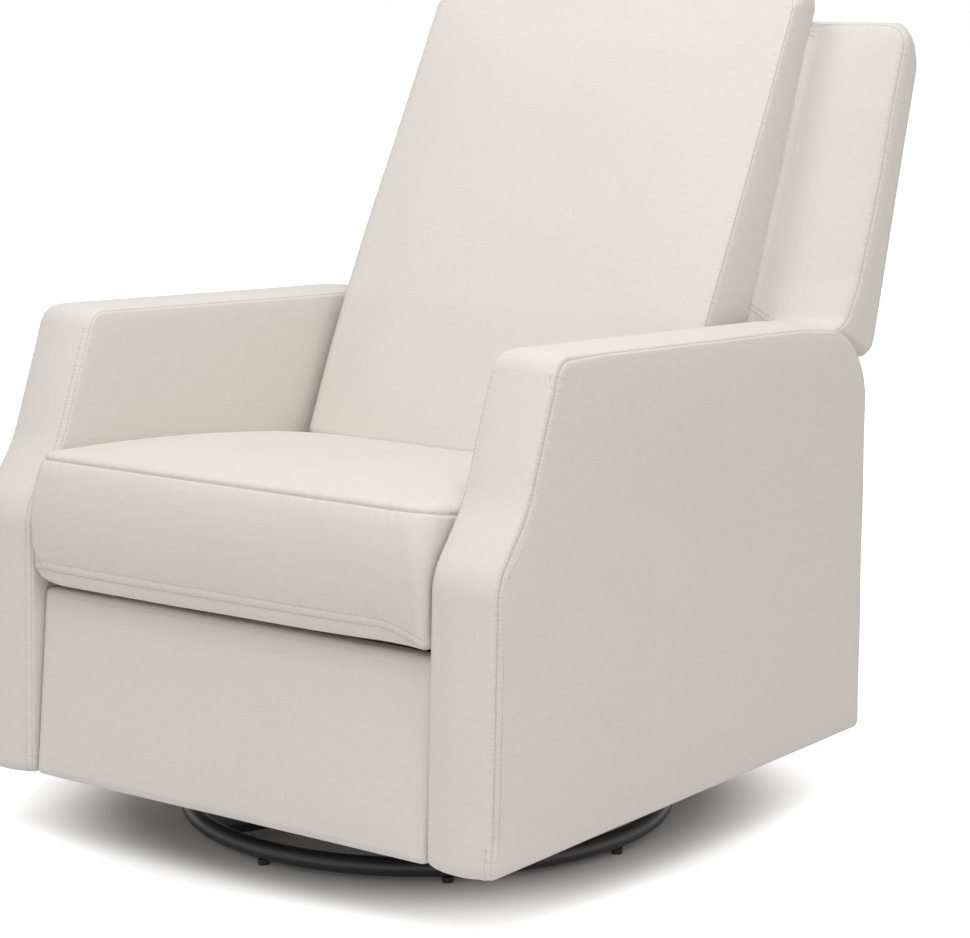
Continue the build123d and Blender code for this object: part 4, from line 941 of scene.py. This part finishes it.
def buildWings():
    reach, tall = wings["reach"], wings["top"] - wings["foot"]
    front = rimLevels(0, 1, wings["edge"], wings["angles"])
    rear = rimLevels(0, 1, wings["rearEdge"], wings["rearAngles"])
    # depth behind the face in metres, share of the thickness and inset of each ring
    levels = [(depth, 0.0, inset) for depth, inset in front]
    levels += [(wings["rise"] * (1 - k / 9) - wings["rearEdge"] * k / 9, k / 9, -0.0012) for k in range(1, 9)]
    levels += [(-depth, 1.0, inset) for depth, inset in reversed(rear)]
    cuts = (170, len(levels) - 1, 100)
    piece, cells = gridBlock("wingedBack", cuts)

    def plan(level):
        _, share, inset = level
        x, low, high = reach - inset, inset, tall - inset
        corner = wings["corner"][0] + (wings["corner"][1] - wings["corner"][0]) * share
        foot = 0.010 + 0.012 * share
        return [(-x, low), (-x, high), (x, high), (x, low)], [foot, corner, corner, foot]

    flatWay = ringedPoints(cells, cuts, 1, levels, plan, (0.55, 0.45))
    x, h = flatWay[:, 0], flatWay[:, 1] / tall
    out = np.clip((np.abs(x) - wings["knee"]) / (reach - wings["knee"]), 0, 1.02)
    frontOut = wings["bend"] * (1 - np.exp(-out / wings["bendReach"])) + (1 - wings["bend"]) * out
    rearOut = out ** 1.3
    mix = []
    for side, amount in (("Front", frontOut[:, None]), ("Rear", rearOut[:, None])):
        inner, outer = alongLine(wings["inner" + side], h), alongLine(wings["outer" + side], h)
        mix.append(inner * (1 - amount) + outer * amount)
    thick = np.linalg.norm(mix[1] - mix[0], axis=1)
    depth, share, _ = ringValues(levels, cells[:, 1])
    share = np.clip(share + depth / thick, 0, 1)
    for level, way in ((0, -1), (cuts[1], 1)):
        cap = np.nonzero(cells[:, 1] == level)[0]
        rim = ringOrder(cells, cuts, level, 1, ("low", "top", "high", "foot"))
        away = rimDistance(flatWay[cap], flatWay[rim])
        share[cap] += way * wings["plump"] * (1 - np.exp(-away / wings["plumpReach"])) / thick[cap]
    place = mix[0] + (mix[1] - mix[0]) * share[:, None]
    # the top rounds off towards the rear, and so does the foot
    left = np.clip((1 - share) * thick, 0, None)
    for radii, weight, way in ((wings["topRound"], h ** 5, -1), (wings["footRound"], (1 - h) ** 5, 1)):
        radius = radii[0] + (radii[1] - radii[0]) * out
        drop = radius - np.sqrt(np.clip(radius ** 2 - np.clip(radius - left, 0, None) ** 2, 0, None))
        place[:, 1] += way * drop * weight
    points = np.stack([x, place[:, 0] + frontY, place[:, 1]], axis=1)
    setPoints(piece, points)
    seam, rearSeam = wings["angles"].index(56), cuts[1] - 2
    lines = [points[ringOrder(cells, cuts, level, 1, ("low", "top", "high"))] for level in (seam, rearSeam)]
    soften(piece, 0.0009, 0.16, 41)
    sewSeams(piece, lines, depth=0.0006, reach=0.0020, pucker=0.0004, seed=9)
    finishPad(piece, "backrest", ["back_cover"])
    return piece, lines


wingedBack, wingSeams = buildWings()
seamCord("wingSeam", wingedBack, wingSeams[0], "backrest", thick=0.0013)
for number, drop in enumerate((0, 0.007)):
    for name, way in (("left", 1), ("right", -1)):
        slant = np.array([(way * x, frontY + setback, z - drop) for x, setback, z in wings["stitch"]])
        stitchRow(f"wingStitch_{name}_{number}", wingedBack, slant, (0, 0, 0), "backrest")


tail = {
    "corners": [(0.5560, 0.347), (0.6500, 0.600), (0.8330, 0.585), (0.7340, 0.166), (0.6400, 0.281)],
    "radii": [0.012, 0.006, 0.006, 0.012, 0.030],
    "edge": 0.010,
}


def buildTail():
    reach = backHigh.x
    angles = (0, 20, 40, 55, 70, 90)
    rim = rimLevels(reach, 0, tail["edge"], angles) + [(reach - tail["edge"] - d, 0.0) for d in (0.003, 0.007, 0.013)]
    levels = [(-x, inset) for x, inset in rim] + [(x, 0.0) for x in np.linspace(-0.240, 0.240, 36)] + rim[::-1]
    cuts = (len(levels) - 1, 24, 50)
    piece, cells = gridBlock("backTail", cuts)
    x, insets = ringValues(levels, cells[:, 0])
    sides = outlineSides(tail["corners"], tail["radii"], (0, 1, 2, 3))
    u, v = easeEnds(cells[:, 1] / cuts[1], 0.4), easeEnds(cells[:, 2] / cuts[2], 0.4)
    flatWay = outlinePoint(sides, u, v, insets)
    points = np.stack([x, flatWay[:, 0] + frontY, flatWay[:, 1]], axis=1)
    setPoints(piece, points)
    seam = angles.index(55)
    lines = [points[ringOrder(cells, cuts, level, 0, ("low", "top", "high"))] for level in (seam, cuts[0] - seam)]
    soften(piece, 0.0008, 0.16, 43)
    sewSeams(piece, lines, depth=0.0010, pucker=0.0004, seed=13)
    finishPad(piece, "backrest", [])


buildTail()
print("stage: backrest cover")


footrest = {"half": 0.2895, "lean": 5.9, "foot": (-0.0050, 0.0795), "tall": 0.2215, "thick": 0.034, "edge": 0.0075,
            "crown": 0.0026, "corner": 0.007}


def buildPanel(name, half, tall, thick, edge, crown, corner, foot, lean, cuts, seed, rearEdge=0.003):
    # an upright padded panel: rings from its face to its rear, leaning back about its foot
    angles = (0, 14, 28, 42, 56, 70, 80, 90)
    levels = rimLevels(0, thick, edge, angles)
    levels += [(d, 0.0) for d in np.linspace(edge, thick - rearEdge, 5)[1:-1]]
    levels += rimLevels(thick, 0, rearEdge, (0, 30, 60, 90))[::-1]
    cuts = (cuts[0], len(levels) - 1, cuts[1])
    piece, cells = gridBlock(name, cuts)
    depth, insets = ringValues(levels, cells[:, 1])
    sides = outlineSides([(-half, 0), (-half, tall), (half, tall), (half, 0)], [corner] * 4, (0, 1, 2, 3))
    u, v = cells[:, 0] / cuts[0], cells[:, 2] / cuts[2]
    face = outlinePoint(sides, easeEnds(u, 0.5), easeEnds(v, 0.4), insets)
    swell = (1 - np.abs(2 * u - 1) ** 6) ** 2 * (1 - np.abs(2 * v - 1) ** 4) ** 2
    depth = depth - np.where(cells[:, 1] == 0, crown * swell, 0)
    turn = math.radians(lean)
    y = foot[0] + depth * math.cos(turn) + face[:, 1] * math.sin(turn)
    z = foot[1] - depth * math.sin(turn) + face[:, 1] * math.cos(turn)
    points = np.stack([face[:, 0], y + frontY, z], axis=1)
    setPoints(piece, points)
    soften(piece, 0.0007, 0.16, seed)
    return piece, cells, cuts


footPad, cells, cuts = buildPanel("footrestPad", footrest["half"], footrest["tall"], footrest["thick"],
                                  footrest["edge"], footrest["crown"], footrest["corner"], footrest["foot"],
                                  footrest["lean"], (104, 44), 51)
sewSeams(footPad, [getPoints(footPad)[ringOrder(cells, cuts, cuts[1], 1, ("low", "top", "high", "foot"))]],
         depth=0.0, pucker=0.0)
finishPad(footPad, "footrest", ["footrest_cushion"])

# the rear panel's cover wraps its board: over the top, round the ends and under the foot
wrap = 0.003
rearPad, cells, cuts = buildPanel("rearPanelPad", boardHigh.x, boardHigh.z - boardLow.z + 2 * wrap,
                                  panelHigh.y - boardLow.y + wrap, 0.0045, 0.0, 0.008, (0, boardLow.z - wrap), 0.0,
                                  (90, 24), 53)
points = getPoints(rearPad)
points[:, 1] = panelHigh.y + frontY - points[:, 1]  # turned to face the rear
setPoints(rearPad, points)
sewSeams(rearPad, [points[ringOrder(cells, cuts, cuts[1], 1, ("low", "top", "high", "foot"))]], depth=0.0, pucker=0.0)
finishPad(rearPad, "carriage", ["rear_panel_cover"])
print("stage: panels")


studio = {
    "direction": (0.253, -0.372, 0.893), "distance": 3.2, "size": 2.6, "power": 68,  # lamp
    "lens": 104.65, "eye": (2.0517, -2.7209, 1.0111), "look": (-0.59046, 0.78790, -0.17487),  # camera
    "fill": 0.55,  # strength of the light from all round
    # the floor's painted glow is faint round this middle, where the chair's shadow is left, and rises to plain white
    # away from it
    "paintedGlowMiddle": (-0.055, -0.06, 0),  # the floor turns plain white away from here
    "paintedGlowRamp": {"From Min": 0.33, "From Max": 0.56, "To Min": 0.02, "To Max": 0.80},
}

floorFinish, tree, surface, place = newMaterial("paleFloorWithPaintedGlow")
surface.inputs["Base Color"].default_value = (0.80, 0.80, 0.80, 1)
surface.inputs["Roughness"].default_value = 0.9
surface.inputs["Specular IOR Level"].default_value = 0.1
surface.inputs["Emission Color"].default_value = (1, 1, 1, 1)
# the floor glows for the camera only: a painted glow, weak near the chair and strong away from it, that sets how far
# the chair's shadow reaches
seen = seenDirectly(tree)
distance = addNode(tree, "ShaderNodeVectorMath", operation="DISTANCE")
tree.links.new(place.outputs["Object"], distance.inputs[0])
distance.inputs[1].default_value = studio["paintedGlowMiddle"]
paintedGlowRamp = addNode(tree, "ShaderNodeMapRange", interpolation_type="SMOOTHSTEP")
for label, value in studio["paintedGlowRamp"].items():
    paintedGlowRamp.inputs[label].default_value = value
tree.links.new(distance.outputs["Value"], paintedGlowRamp.inputs["Value"])
tree.links.new(mathNode(tree, "MULTIPLY", seen, paintedGlowRamp.outputs["Result"]), surface.inputs["Emission Strength"])
bpy.ops.mesh.primitive_plane_add(size=60, location=(0, 0, 0))
floor = bpy.context.object
floor.name = "floor"
floor.data.materials.append(floorFinish)

world = bpy.data.worlds.new("studio")
scene.world = world
world.use_nodes = True
tree = world.node_tree
tree.nodes.clear()
soft = addNode(tree, "ShaderNodeBackground", Color=(1, 1, 1, 1), Strength=studio["fill"])
plain = addNode(tree, "ShaderNodeBackground", Color=(1, 1, 1, 1), Strength=1.0)
seen = seenDirectly(tree)
choice = tree.nodes.new("ShaderNodeMixShader")
tree.links.new(seen, choice.inputs["Fac"])
tree.links.new(soft.outputs[0], choice.inputs[1])
tree.links.new(plain.outputs[0], choice.inputs[2])
tree.links.new(choice.outputs[0], tree.nodes.new("ShaderNodeOutputWorld").inputs["Surface"])

bpy.ops.object.light_add(type="AREA")
lamp = bpy.context.object
lamp.data.shape = "SQUARE"
lamp.data.size = studio["size"]
lamp.data.energy = studio["power"]
way = Vector(studio["direction"])
lamp.location = Vector((0, 0, 0.5)) + way * studio["distance"]
lamp.rotation_euler = way.to_track_quat("Z", "Y").to_euler()

bpy.ops.object.camera_add(location=studio["eye"])
camera = bpy.context.object
camera.data.sensor_width = 36
camera.data.lens = studio["lens"]
camera.rotation_euler = Vector(studio["look"]).to_track_quat("-Z", "Y").to_euler()
camera.data.clip_end = 100
scene.camera = camera
scene.view_settings.view_transform = "Standard"
print("stage: studio")
